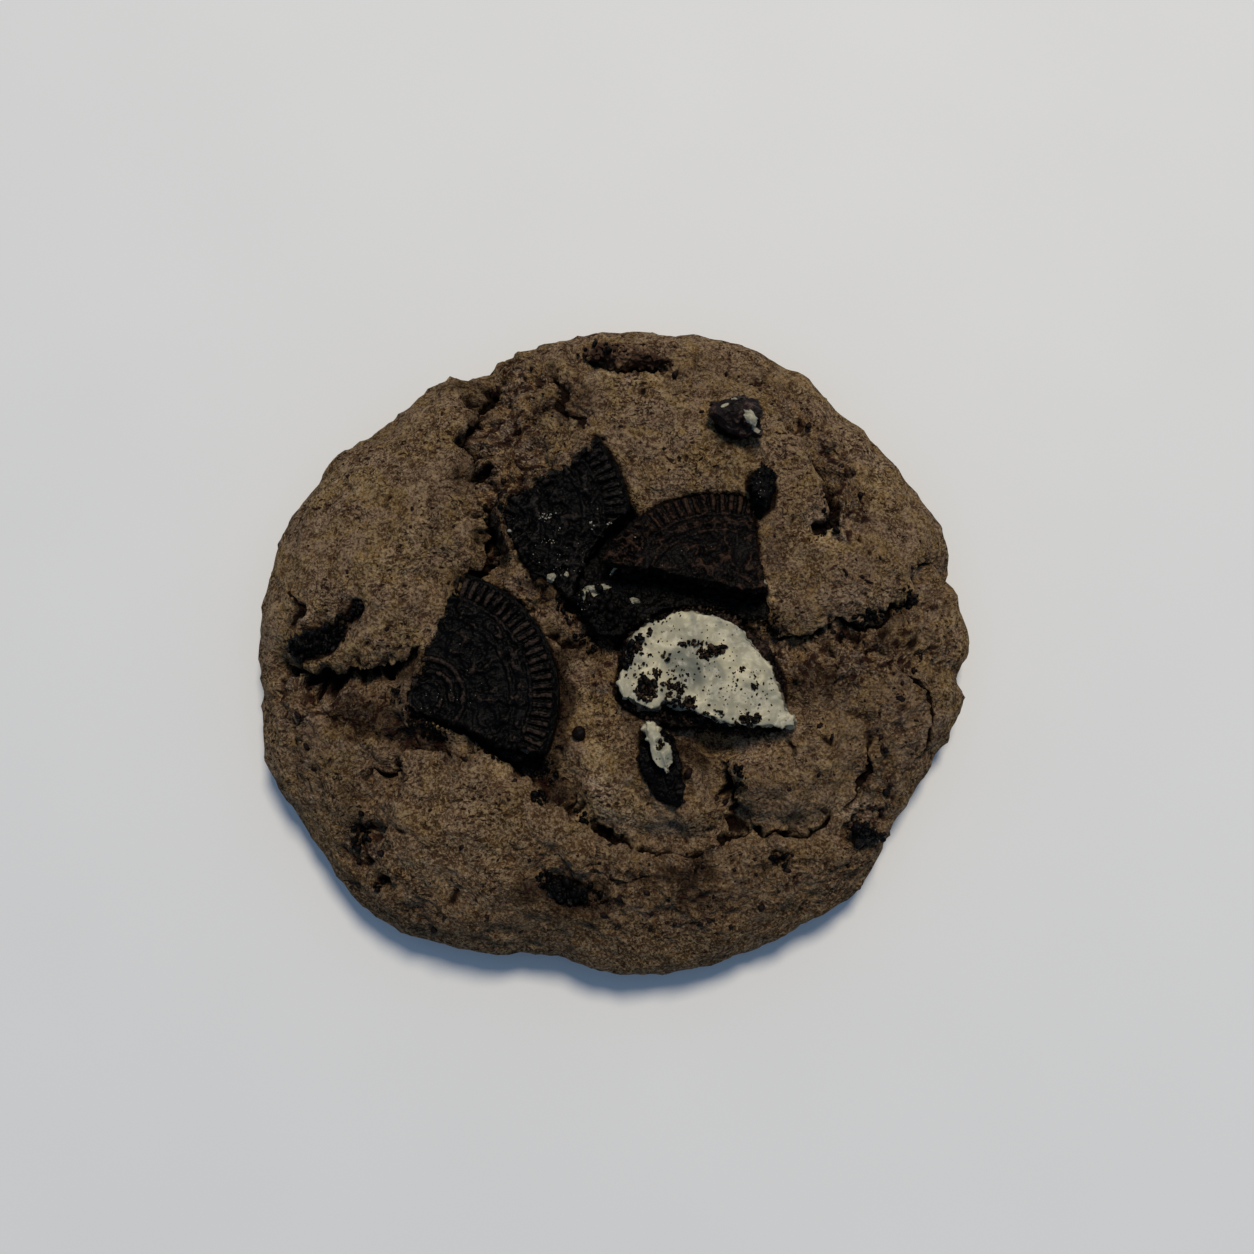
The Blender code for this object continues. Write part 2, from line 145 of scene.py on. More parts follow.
# %% Helpers for node trees
def add(tree, kind, inputs=None, **settings):
    """Adds a node. Inputs are given by name or number, as a value or as another node's output to link."""
    made = tree.nodes.new("ShaderNode" + kind)
    for setting, value in settings.items():
        setattr(made, setting, value)
    for key, value in (inputs or {}).items():
        if isinstance(value, bpy.types.NodeSocket):
            tree.links.new(value, made.inputs[key])
        else:
            made.inputs[key].default_value = value
    return made


def millimetres(tree, stretch=(1, 1, 1)):
    """The place on the piece in millimetres, stretched where a pattern is longer one way."""
    place = add(tree, "TexCoord").outputs["Object"]
    scale = [side / MM for side in stretch]
    return add(tree, "Mapping", {"Vector": place, "Scale": scale}).outputs["Vector"]


def cloud(tree, place, size, detail=3.0, distortion=0.0, kind="FBM"):
    """Soft random patches of about that size in millimetres, from 0 to 1."""
    inputs = {"Vector": place, "Scale": 1 / size, "Detail": detail, "Distortion": distortion}
    return add(tree, "TexNoise", inputs, noise_type=kind).outputs["Fac"]


def ramp(tree, value, low, high, to_low=0.0, to_high=1.0):
    """Carries a value smoothly from one range to another."""
    inputs = {"Value": value, "From Min": low, "From Max": high, "To Min": to_low, "To Max": to_high}
    return add(tree, "MapRange", inputs, interpolation_type="SMOOTHSTEP").outputs["Result"]


def sums(tree, operation, first, second=0.0):
    """One step of arithmetic on two values."""
    return add(tree, "Math", {0: first, 1: second}, operation=operation).outputs[0]


def blend(tree, share, first, second):
    """Mixes two colours: a share of 0 is the first and 1 the second."""
    return add(tree, "Mix", {0: share, 6: first, 7: second}, data_type="RGBA").outputs[2]


def tint(tree, share, colour, factors):
    """Multiplies a colour by factors, by a share from 0 to 1, so that its grain still shows."""
    inputs = {0: share, 6: colour, 7: factors}
    return add(tree, "Mix", inputs, data_type="RGBA", blend_type="MULTIPLY").outputs[2]


def attribute(tree, name):
    """A number that the mesh keeps at each of its points."""
    return add(tree, "Attribute", attribute_name=name).outputs["Fac"]


def finish(name, roughness, specular):
    """A material, its node tree and its Principled surface."""
    made = bpy.data.materials.new(name)
    made.use_nodes = True
    surface = made.node_tree.nodes["Principled BSDF"]
    surface.inputs["Roughness"].default_value = roughness
    surface.inputs["Specular IOR Level"].default_value = specular
    return made, made.node_tree, surface


def raise_bumps(tree, surface, height, depth):
    """Lets a height from 0 to 1 shade the surface as bumps of that depth in millimetres."""
    bump = add(tree, "Bump", {"Height": height, "Distance": depth * MM, "Strength": 1.0})
    tree.links.new(bump.outputs["Normal"], surface.inputs["Normal"])


# %% The floor's finish
paper, tree, surface = finish("pale_floor", 0.6, 0.3)
tone = cloud(tree, millimetres(tree), 40, 2)
shade = blend(tree, tone, (0.80, 0.80, 0.79, 1), (0.84, 0.84, 0.83, 1))
tree.links.new(shade, surface.inputs["Base Color"])
floor.data.materials.append(paper)
print("finish:", paper.name)

# %% [markdown]
# ## The dough's shape
#
# A drop cookie has no sharp rim: its crust rounds over into a bulging side that tucks in at the foot. Here the
# dough starts as a ball of even squares, which is pressed out so that each ring of the ball lands on the
# cookie's half-section, and each bearing reaches as far as the outline does there. A ball keeps the squares
# about one size all over, and it stays closed. The swells, valleys and hollows are those of the CAD solid.

# %% The dough's driving sizes
SPREAD_X = 125.0
SPREAD_Y = 114.6
CROWN = 17.0
WIDEST_AT = 5.5
FOOT_INSET = 0.05
SHOULDER = 4.6
FOOT_TURN = math.radians(152)
FOOT_BELOW = -1.0

# The edge wanders in and out of an ellipse: (bearing, half-width in degrees, reach in mm)
EDGE_WAVES = (
    *((9, 6, -0.8), (38, 13, -1.1), (68, 10, 1.4), (106, 12, -1.4), (116, 3.6, -2.6), (137, 13, -3.1)),
    *((164, 8, 0.4), (202, 8, 2.0), (230, 15, 3.4), (258, 7, -2.3), (284, 12, 0.8), (331, 10, -3.0)),
    *((354, 2.5, -1.4), (147, 5, 1.8), (312, 6, 0.9)),
)
# Small nicks and bumps of the edge, too small for the CAD solid
EDGE_NICKS = (
    *((10.5, 2.2, -1.2), (352, 1.6, -1.0), (45, 2.4, -1.2), (53.5, 2.6, 0.8), (119.5, 1.5, -1.5)),
    *((28, 5, -0.6), (4.4, 3, -0.5), (342, 5, -0.6), (124, 2.6, -0.4), (152, 3.4, -0.9)),
)

# Swells of dough: (x, y, half-length, half-width, bearing of the length, height)
SWELLS = (
    (-39.5, 15.0, 27, 16.5, 62, 3.2),
    (15.0, 36.5, 26, 14, -10, 2.2),
    (42.0, 13.5, 15, 14, 10, 2.4),
    (-24.0, -38.0, 20, 16, 0, 2.6),
    (-50.0, -21.0, 13, 12, 90, 1.2),
    (4.0, -26.5, 12, 9, 0, 1.3),
    (31.5, -25.0, 12.5, 8.5, 10, 2.0),
    (49.5, -11.0, 16, 11, 80, 1.0),
    (8.0, -46.0, 27, 8, -4, 0.9),
    (-6.5, 2.5, 13, 5, -38, 1.2),
)

# Valleys where the crust split and sank: (half-width, depth, the points along it)
VALLEYS = (
    (4.0, 3.6, ((-24, 53), (-24, 37), (-25, 31), (-22, 24), (-20.5, 16), (-22, 11), (-27, 7))),
    (5.5, 1.6, ((-15, 50), (-15, 38), (-16, 30))),
    (3.0, 2.8, ((-58, -6.5), (-54, -8.5), (-49, -10.5), (-44.5, -10), (-40, -8), (-33, -7))),
    (2.0, 1.6, ((-11, -0.5), (-6.5, -2.5), (-2, -5), (1, -6))),
    (2.0, 2.0, ((-22, -19), (-30, -20), (-36.5, -20), (-37.5, -25), (-39.5, -29), (-40, -37))),
    (2.0, 2.2, ((-8.5, -23), (-6, -29), (-3, -33), (6, -35.3), (14, -35.6), (20, -32.5), (30, -33.4))),
    (2.0, 1.8, ((30, -33.4), (35, -31.5), (38, -29))),
    (2.2, 2.4, ((16, -20), (18, -27), (21, -32))),
    (3.0, 2.4, ((60, 16), (54, 8), (52.5, 4.5), (45, 1.5), (38, -1), (31, -3.5), (27, -2.5))),
    (2.4, 1.8, ((31, 43), (34.5, 36), (37, 31), (37.7, 25), (37, 20), (34, 17.5))),
    (2.2, 1.6, ((8, 52), (16, 50), (25.5, 45), (32, 38))),
    (3.0, 1.4, ((40, -12), (40, -24), (46, -32))),
)

# Hollows round the pieces that baked near the surface: (x, y, half-length, half-width, bearing, depth)
HOLLOWS = (
    (-50.4, -2.4, 7.4, 3.4, 20, 1.8),
    (-44.6, 2.0, 3.0, 2.4, 60, 0.8),
    (3.0, 50.0, 10.5, 3.4, -8, 3.0),
    (-8.4, -43.0, 7.0, 3.4, -18, 2.0),
    (41.8, -34.0, 4.5, 2.8, -8, 1.4),
    (2.0, 1.0, 12.0, 6.0, -12, 4.2),
    (18.0, -19.2, 9.0, 2.4, -8, 3.0),
    (-14.0, -25.0, 7.0, 3.4, -20, 2.4),
)
print("dough:", SPREAD_X, "by", SPREAD_Y, "mm, with", len(SWELLS), "swells and", len(VALLEYS), "valleys")

# %% [markdown]
# Three small measures place all the relief: the reach of the edge at a bearing, the share of the way from the
# middle of an oval to its outline, and the distance to a line through points. The last also says on which side
# of the line a place is, and how far it is from the line's ends, which the cracks need further on.

# %% Measures for placing relief
def reach(bearing):
    """How far the cookie's edge is from its middle, towards each bearing in radians."""
    a, b = SPREAD_X / 2, SPREAD_Y / 2
    out = a * b / np.hypot(b * np.cos(bearing), a * np.sin(bearing))
    for centre, half_width, swing in EDGE_WAVES + EDGE_NICKS:
        away = np.angle(np.exp(1j * (bearing - math.radians(centre))))
        out = out + swing * np.exp(-((away / math.radians(half_width)) ** 2))
    return out


def oval(x, y, cx, cy, long, wide, bearing):
    """Distance from an oval's middle, as a share of its half-axes: 1 is on its outline."""
    turn = math.radians(bearing)
    u = (x - cx) * math.cos(turn) + (y - cy) * math.sin(turn)
    v = (y - cy) * math.cos(turn) - (x - cx) * math.sin(turn)
    return np.hypot(u / long, v / wide)


def follow(points, x, y):
    """For each place: its distance to a line through the points, its side (1 is left), how far it is from an end
    of the line, and the direction to the line."""
    nearest = np.full(x.shape, np.inf)
    side, along = np.ones(x.shape), np.zeros(x.shape)
    to_x, to_y = np.zeros(x.shape), np.zeros(x.shape)
    run = 0.0
    for (ax, ay), (bx, by) in zip(points, points[1:]):
        dx, dy = bx - ax, by - ay
        length = math.hypot(dx, dy)
        share = np.clip(((x - ax) * dx + (y - ay) * dy) / length**2, 0, 1)
        off_x, off_y = ax + share * dx - x, ay + share * dy - y
        away = np.hypot(off_x, off_y)
        closer = away < nearest
        nearest = np.where(closer, away, nearest)
        to_x = np.where(closer, off_x / np.maximum(away, 1e-6), to_x)
        to_y = np.where(closer, off_y / np.maximum(away, 1e-6), to_y)
        side = np.where(closer, np.sign(dx * (y - ay) - dy * (x - ax)), side)
        along = np.where(closer, run + share * length, along)
        run += length
    return nearest, side, np.minimum(along, run - along), to_x, to_y


def crust_height(x, y):
    """Height of the crust above the table, before it rounds off at the edge."""
    top = np.full(x.shape, CROWN)
    for cx, cy, long, wide, bearing, height in SWELLS:
        top += height * np.exp(-(oval(x, y, cx, cy, long, wide, bearing) ** 4))
    for half_width, depth, points in VALLEYS:
        top -= depth * np.exp(-((follow(points, x, y)[0] / half_width) ** 2))
    for cx, cy, long, wide, bearing, depth in HOLLOWS:
        top -= depth * np.exp(-(oval(x, y, cx, cy, long, wide, bearing) ** 4))
    return top


def waves(places, size, octaves=3, shift=0.0, across=1.0):
    """Smooth random values of about -1 to 1 at each place, for bumps of that size in millimetres."""
    offset = Vector((shift, 1.7 * shift, -shift))
    return np.array([noise.fractal(Vector(place) / size + offset, across, 2.0, octaves) for place in places])


def clumps(places, size, shift=0.0):
    """Rounded grains of about that size: 1 in the middle of a grain, falling to 0 between grains."""
    offset = Vector((shift, -shift, 0.5 * shift))
    nearest = [noise.voronoi(Vector(place) / size + offset)[0] for place in places]
    first, second = np.array([distances[:2] for distances in nearest]).T
    return np.clip((second - first) * 1.6, 0, 1)


print("edge at bearing 0:", round(float(reach(np.array([0.0]))[0]), 1), "mm")

# %% [markdown]
# The half-section runs from the middle of the top, over the shoulder, round the bulge and in to the foot. Each
# point of the ball takes its place on it by its angle from the top.

# %% Press the ball into the dough's shape
def side_profile(steps=400):
    """The half-section: its length, reach and height as shares, from the middle of the top to the foot."""
    turn = np.linspace(0, math.pi / 2, steps)
    foot_turn = turn[1:]
    foot_reach = 1 - FOOT_INSET * (1 - np.cos(foot_turn))
    reach_share = np.concatenate([np.sin(turn) ** (2 / SHOULDER), foot_reach])
    height_share = np.concatenate([np.cos(turn), -np.sin(foot_turn)])
    run = np.diff(reach_share) * SPREAD_X / 2
    rise = np.diff(height_share) * np.where(height_share[1:] > 0, CROWN - WIDEST_AT, WIDEST_AT)
    along = np.concatenate([[0], np.cumsum(np.hypot(run, rise))])
    return along / along[-1], reach_share, height_share


def press(bm):
    """Where the ball's points go: their places, and their height as a share of the way up from the bulge."""
    ball = np.array([vert.co.normalized() for vert in bm.verts])
    bearing = np.arctan2(ball[:, 1], ball[:, 0])
    turn = np.arccos(np.clip(ball[:, 2], -1, 1))
    along, reach_share, height_share = side_profile()
    out = np.interp(turn / FOOT_TURN, along, reach_share) * reach(bearing)
    out *= np.clip((math.pi - turn) / (math.pi - FOOT_TURN), 0, 1) ** 0.5
    x, y = out * np.cos(bearing), out * np.sin(bearing)
    rise = np.interp(turn / FOOT_TURN, along, height_share)
    ripple = waves(np.stack([x, y, rise * CROWN], 1), 9.0, across=0.8)
    z = WIDEST_AT + rise * np.where(rise > 0, crust_height(x, y) - WIDEST_AT, WIDEST_AT - FOOT_BELOW)
    z += 0.7 * ripple * np.clip(rise * 2, 0, 1)
    shown = z > 0
    middle_x = (x[shown].min() + x[shown].max()) / 2
    middle_y = (y[shown].min() + y[shown].max()) / 2
    return np.stack([x - middle_x, y - middle_y, z], 1), rise


CRUST_CUTS = 77
crust = bmesh.new()
bmesh.ops.create_cube(crust, size=2)
bmesh.ops.subdivide_edges(crust, edges=crust.edges, cuts=CRUST_CUTS, use_grid_fill=True)
for vert in crust.verts:
    vert.co = Vector([math.tan(side * math.pi / 4) for side in vert.co]).normalized()
print("ball of", len(crust.faces), "squares")

# %% [markdown]
# ## Where the crust is torn
#
# A crust splits where the dough under it still rises. A crack is a narrow dark trough, often with one side
# standing higher than the other, and the crumb beside it lies open: darker, damper and coarser than the crust.
# Both are placed along the lines and in the ovals given below, and then pushed about by noise, which makes them
# ragged.

# %% The cracks and the open crumb
# Each crack: (half-width, depth, how much its left side stands above its right side, the points along it)
CRACKS = (
    (0.9, 2.2, 1.1, ((-26, 6.9), (-23.9, 9.4), (-21.9, 11.9), (-21.5, 16.1), (-22.3, 20.3), (-24.8, 24.5))),
    (1.1, 2.6, 1.5, ((-24.8, 24.5), (-23.9, 28.7), (-25.2, 32.1), (-25.6, 38), (-23.9, 41.4), (-23, 50))),
    (0.6, 1.2, -1.4, ((-10.5, 50.5), (-10.8, 46.0), (-9.4, 42.6), (-9.0, 39.0), (-6.0, 36.0), (-7.0, 33.0))),
    (0.95, 3.8, 1.0, ((-58.5, -3.4), (-56.9, -4.9), (-55.7, -7), (-52, -8.7), (-47.9, -9.5), (-44.6, -8.7),
                     (-42.1, -7.4), (-39.6, -7), (-36.3, -6.2), (-33.4, -5.3), (-30.5, -4.1))),
    (0.5, 0.8, 0.4, ((-55.3, -1.6), (-54, 3.5), (-56.1, 6.9), (-57, 10))),
    (0.7, 2.0, 0.4, ((-13.5, 1), (-12, 0.1), (-8.3, -1.6), (-6.6, -2.8), (-3.7, -4.1))),
    (0.6, 1.8, 0.8, ((-18.2, -21.8), (-28, -20.5), (-37.1, -20.1))),
    (0.7, 2.2, 0.6, ((-36, -20.3), (-35.9, -22.6), (-37.5, -24.7), (-40.4, -26), (-43.7, -26.8))),
    (0.5, 1.2, 0.2, ((-36.2, -33.4), (-34.5, -34.2), (-31.6, -34))),
    (0.5, 2.0, 0.4, ((-9.9, -26), (-7.4, -29.3), (-5.8, -31.9), (-6.2, -33.5))),
    (0.5, 2.2, 0.7, ((-4.5, -32.2), (-2.9, -33.1), (0, -34.8), (2.9, -36.1), (8.2, -36.7), (14.8, -36.9),
                     (16.9, -35.6), (19.8, -34.4), (23.1, -33.1), (26.4, -34), (30.5, -34.4), (34.6, -32.7),
                     (37.9, -30.2))),
    (0.5, 1.6, 0.2, ((15.3, -36.9), (14.8, -39.4), (13.2, -42.5))),
    (0.5, 2.0, 0.5, ((16.9, -22), (18.1, -26.8), (19.8, -28.9), (20.2, -31.9), (21.4, -33.1))),
    (0.4, 1.8, 0.5, ((25.2, 1.4), (27.2, -0.7), (30.5, -2), (34.7, -0.7), (38.8, 0.5), (43.7, 1.4), (47, 3.1),
                     (51.2, 5.6), (52.8, 8.1), (53.6, 10.7), (55.7, 12.8), (59, 15.5))),
    (0.9, 3.0, 0.6, ((38, 16.5), (35.9, 18.6), (37.5, 22), (36.7, 25.4), (35.9, 29.6), (34.7, 32.1),
                     (32.6, 34.6), (30.5, 38), (28.9, 41.4), (24.8, 44.7), (18.2, 47.3), (9.9, 49))),
    (0.5, 1.2, 0.2, ((30.1, 16.6), (30.3, 18.6), (30.9, 20.6))),
    (0.6, 1.2, 0.6, ((42.9, -17.5), (43.7, -23.4), (41.3, -28.5), (37.9, -31))),
    (0.4, 0.8, 0.3, ((-2, -41.2), (3.4, -42.4), (7.8, -41.4))),
    (0.5, 0.9, 0.3, ((25, -38.6), (28, -38.2), (30.5, -38.6))),
    (0.5, 0.9, 0.4, ((28.4, -17.8), (29.4, -20.6), (29.0, -23.2))),
    (0.6, 1.0, 0.5, ((-52, -14), (-54.5, -20), (-53, -27))),
    (0.5, 0.9, 0.3, ((47.5, -6), (52, -9.5), (55, -15), (53.5, -22))),
)

# Open crumb: (x, y, half-length, half-width, bearing of the length, how coarse it is)
OPEN_CRUMB = (
    (-17.5, 33.0, 16.0, 7.6, 84, 1.0),
    (-19.8, 18.5, 7.5, 2.2, 88, 0.8),
    (-17.0, 47.5, 6.5, 5.5, 20, 0.9),
    (-46.0, -13.6, 13.0, 4.6, -14, 0.9),
    (-38.5, -27.0, 7.0, 4.0, 70, 0.6),
    (-41.5, -36.5, 5.4, 4.4, 60, 0.9),
    (39.5, 25.0, 13.0, 3.6, 100, 0.9),
    (31.0, 41.0, 9.0, 2.4, 128, 0.8),
    (41.0, -5.0, 16.0, 5.6, 8, 0.9),
    (55.0, 6.5, 7.5, 3.4, 70, 0.7),
    (44.5, -23.0, 11.5, 3.6, 98, 0.6),
    (44.0, -32.5, 6.0, 3.4, 40, 0.8),
    (10.0, -40.5, 17.0, 2.8, 4, 0.5),
    (19.0, -27.5, 7.5, 1.8, 112, 0.8),
    (2.0, 48.6, 11.5, 3.4, -6, 0.9),
    (0.0, -1.5, 9.0, 4.4, -30, 0.9),
    (-15.5, 6.0, 6.0, 3.0, -34, 0.8),
    (-9.8, -12.0, 10.0, 2.2, 86, 0.6),
    (-1.6, -8.0, 5.5, 2.0, 86, 0.8),
    (31.0, -6.0, 5.0, 4.6, -40, 0.7),
    (-5.5, -42.0, 12.0, 4.6, -8, 0.6),
    (8.0, -47.0, 12.0, 3.4, 4, 0.6),
    (8.6, -24.5, 8.8, 5.0, -74, 0.5),
    (-30.0, -20.0, 9.0, 2.4, -22, 0.7),
    (14.0, 44.5, 8.0, 2.4, 10, 0.3),
    (-6.0, 40.0, 3.0, 6.0, 10, 0.6),
    (-12.0, -26.5, 8.0, 2.8, -38, 0.8),
    (26.5, 14.5, 2.2, 7.0, 0, 0.3),
    (30.0, -43.0, 8.0, 3.0, 28, 0.6),
    (51.0, -8.0, 7.0, 3.6, 96, 0.6),
    (47.5, -16.0, 6.0, 4.0, 80, 0.6),
    (-33.0, -46.0, 7.0, 2.6, -34, 0.5),
    (-51.0, -22.0, 8.0, 2.6, 96, 0.5),
    (44.0, -17.0, 13.0, 10.0, 80, 0.46),
    (28.0, -27.0, 12.0, 7.0, 10, 0.38),
    (18.0, -43.0, 24.0, 7.0, 8, 0.46),
    (-18.0, -47.0, 14.0, 5.0, -16, 0.3),
    (40.0, 8.0, 10.0, 4.0, 20, 0.3),
)

# Small dark pits: (x, y, half-width, depth)
PITS = (
    *((-38.6, -43.2, 1.1, 1.6), (-26.4, -44.8, 0.8, 1.0), (-38.8, 21.4, 0.7, 0.8), (5.2, 41.6, 0.6, 0.8)),
    *((-40.6, 3.1, 0.6, 0.8), (-42.5, -5.3, 0.9, 0.7), (35.5, -19.5, 0.8, 1.0), (42.9, -4.1, 0.9, 1.0)),
    *((21.0, -32.4, 0.8, 1.2), (-42.8, -34.2, 1.2, 1.8), (-40.2, -33.4, 1.0, 1.4), (-41.6, -38.2, 1.1, 1.6)),
    *((-25.8, 42.6, 1.2, 2.0), (-26.6, 33.5, 1.0, 1.8), (-22.6, 28.4, 1.0, 1.6), (38.4, 18.4, 1.0, 1.8)),
    *((50.8, 5.6, 1.1, 1.6), (-57.2, -8.6, 1.0, 1.2), (27.9, -40.0, 1.2, 0.9), (-16.8, 36.2, 0.9, 1.4)),
    *((36.4, -2.6, 0.9, 1.4), (45.6, 0.6, 1.0, 1.6), (41.0, -1.0, 0.8, 1.2), (37.0, -6.0, 0.7, 1.0)),
    *((50.6, -2.4, 0.8, 1.0), (33.2, 8.0, 0.5, 0.8), (46.5, -27.6, 0.8, 1.2), (36.2, 27.6, 0.9, 1.6)),
)


# Where the crust baked darker, or stayed paler where the share is below 0, and painted shade where a valley or a
# piece shades the crust: (x, y, half-length, half-width, bearing, share)
STAINS_AND_SHADE = (
    (-8.0, 40.5, 7.5, 4.6, 20, 0.45),
    (-26.2, 30.0, 1.8, 12.0, 0, 0.4),
    (-16.0, 25.0, 3.2, 3.0, 0, 0.3),
    (-12.0, 8.5, 5.5, 2.8, -50, 0.55),
    (-9.6, -14.0, 13.0, 2.8, 82, 0.62),
    (-10.8, -26.0, 5.0, 3.4, -40, 0.7),
    (12.8, -22.4, 3.6, 2.6, -40, 0.6),
    (2.0, -26.0, 2.6, 5.0, 0, 0.2),
    (31.0, 2.4, 6.0, 2.4, 8, 0.45),
    (33.0, -9.0, 6.0, 4.6, 0, 0.45),
    (43.0, -3.0, 4.0, 3.0, 0, 0.2),
    (-9.0, -45.0, 10.0, 3.4, -6, 0.5),
    (13.5, -41.0, 6.0, 4.0, 70, 0.5),
    (-40.0, -16.4, 10.0, 3.6, -16, 0.6),
    (-43.7, -31.5, 3.6, 5.0, 0, 0.5),
    (20.8, 31.4, 4.2, 1.5, 0, 0.75),
    (-30.0, -19.6, 8.0, 1.8, -22, 0.6),
    (-27.0, 46.0, 4.0, 5.0, 0, 0.5),
    (3.4, -16.5, 1.6, 4.5, 8, 0.5),
    (14.6, -20.5, 2.4, 3.4, 20, 0.5),
    (-34.3, -5.6, 3.2, 2.6, 20, 0.5),
    (-14.0, 9.6, 2.4, 5.0, 40, 0.4),
    (27.5, -0.6, 3.0, 1.6, -30, 0.5),
    (-3.0, -30.0, 4.0, 5.0, 0, -0.18),
    (-40.0, 38.0, 16.0, 3.0, 45, 0.3),
    (20.0, 20.5, 5.0, 1.6, 10, 0.3),
    (37.5, 17.5, 4.0, 5.0, 0, -0.5),
    (41.0, -30.5, 4.5, 3.0, 0, -0.5),
    (3.0, -32.8, 9.0, 2.0, -12, -0.4),
    (-44.0, -9.6, 8.0, 1.8, -6, -0.4),
    (2.0, 45.2, 8.0, 1.4, -6, -0.6),
    (34.0, 17.0, 3.0, 1.3, 30, -1.2),
    (49.6, 4.0, 4.0, 1.8, 40, 0.5),
    (-50.4, -2.4, 8.0, 4.0, 20, 0.4),
    (-45.4, 2.0, 2.6, 2.0, 60, 0.6),
    (40.0, -11.0, 17.0, 7.0, 4, 0.2),
    (47.0, -24.0, 7.0, 10.0, 80, 0.16),
    (6.0, -47.0, 34.0, 7.0, 2, 0.26),
    (-48.0, -21.0, 8.0, 9.0, 0, 0.22),
    (-34.0, -48.0, 12.0, 4.0, -35, 0.3),
    (-30.0, 20.0, 3.0, 14.0, -8, 0.3),
    (41.0, 24.0, 3.0, 8.0, 10, 0.3),
    (-17.0, 37.0, 7.0, 14.0, 0, 0.12),
    (-39.0, -10.6, 8.0, 4.6, -14, 0.5),
    (-25.5, 8.5, 3.0, 6.0, -30, 0.45),
    (-11.0, 5.0, 5.0, 2.0, -50, 0.2),
    (-19.6, 17.5, 1.6, 7.0, 0, 0.5),
    (-3.4, -12.0, 2.8, 8.0, 10, -0.12),
    (-4.6, -3.6, 4.2, 3.2, -30, 0.45),
    (-7.6, -14.0, 1.8, 9.0, 6, 0.4),
    (-2.6, -25.0, 3.6, 5.0, 0, -0.35),
    (3.0, -30.0, 5.0, 2.4, -20, -0.3),
    (22.5, -21.6, 5.0, 2.4, 0, -0.6),
    (-18.0, -24.6, 5.0, 2.0, -24, -0.4),
    (44.0, 31.0, 3.0, 8.0, 38, -0.3),
    (38.0, 4.0, 9.0, 2.4, 10, -0.35),
    (-52.0, 2.6, 2.6, 3.0, 0, -0.4),
    (28.0, 12.0, 2.2, 9.0, 0, 0.3),
    (-34.0, 2.0, 4.0, 3.0, 0, 0.25),
    (-20.0, -28.0, 8.0, 3.0, -30, 0.25),
    (-46.0, 26.0, 10.0, 5.0, 50, -0.25),
    (16.0, 36.0, 12.0, 5.0, -10, -0.1),
    (-24.0, -38.0, 12.0, 8.0, 10, -0.2),
    (-36.0, 10.0, 8.0, 6.0, 60, -0.2),
    (47.0, -2.0, 6.0, 2.6, 10, 0.4),
    (24.5, -28.0, 4.0, 2.6, -20, 0.35),
    (9.0, -41.5, 9.0, 1.8, 4, 0.4),
    (27.0, -40.0, 5.0, 1.4, 6, 0.5),
    (46.0, -21.0, 3.0, 6.0, 0, 0.15),
    (26.8, 5.6, 1.8, 1.4, 20, -0.9),
)


def tear(places):
    """What the tears do at each place: how far the crust drops and moves sideways, how deep in a crack the place
    is and how open its crumb is, both from 0 to 1, and how far the nearest crack is."""
    wander_x = 1.4 * waves(places, 4.5, shift=3) + 0.35 * waves(places, 1.2, 2, shift=5)
    wander_y = 1.4 * waves(places, 4.5, shift=7) + 0.35 * waves(places, 1.2, 2, shift=9)
    uneven = np.clip(1 + 0.9 * waves(places, 2.8, 2, shift=11), 0.45, 1.8)
    x, y = places[:, 0] + wander_x, places[:, 1] + wander_y
    zero = np.zeros(len(places))
    drop, crack, crumb, near = zero.copy(), zero.copy(), zero.copy(), zero + np.inf
    move = np.zeros((len(places), 2))
    for half_width, depth, step, points in CRACKS:
        away, side, to_end, to_x, to_y = follow(points, x, y)
        taper = np.clip(to_end / 3.5, 0, 1)
        trough = taper * np.exp(-((away / (half_width * uneven)) ** 3))
        drop += depth * trough - 0.5 * step * side * taper * np.exp(-away / 3)
        lip = (0.25 + np.where(side > 0, 0.5 * step, 0)) * taper * np.exp(-(((away - 1.0) / 0.7) ** 2))
        move += np.stack([to_x, to_y], 1) * lip[:, None]
        crack = np.maximum(crack, trough)
        crumb = np.maximum(crumb, taper * np.where(side < 0, step, 0.3) * np.exp(-((away / 2.0) ** 2)))
        near = np.minimum(near, away + 3 * (1 - taper))
    for px, py, half_width, depth in PITS:
        pit = np.exp(-((np.hypot(x - px, y - py) / half_width) ** 2))
        drop += depth * pit
        crack = np.maximum(crack, pit)
    pocks = np.clip(2.5 * waves(places, 1.7, 2, shift=29) - 1.38, 0, 1)
    drop += 0.9 * pocks
    crack = np.maximum(crack, 0.8 * pocks)
    ragged = 0.7 * waves(places, 3.2, 3, shift=13)
    for cx, cy, long, wide, bearing, coarse in OPEN_CRUMB:
        inside = 1 - oval(x, y, cx, cy, long, wide, bearing) + ragged
        crumb = np.maximum(crumb, coarse * np.clip(inside * 5, 0, 1))
    stain = zero.copy()
    for cx, cy, long, wide, bearing, share in STAINS_AND_SHADE:
        inside = 1.2 - oval(x, y, cx, cy, long, wide, bearing) + 0.6 * ragged
        stain += share * np.clip(inside * 1.6, 0, 1)
    crumb = np.clip(crumb, 0, 1)
    return {"drop": drop, "move": move, "crack": crack, "crumb": crumb, "near": near, "stain": stain}


print(len(CRACKS), "cracks,", len(OPEN_CRUMB), "patches of open crumb,", len(PITS), "pits")

# %% [markdown]
# The biscuit pieces lie in beds in the dough. A ray sent up from the table finds the underside of whatever
# lies above a place, and the dough there is sunk to just under it. Close to a piece the crust also dips a
# little, as baked dough does where it shrinks away from something hard.

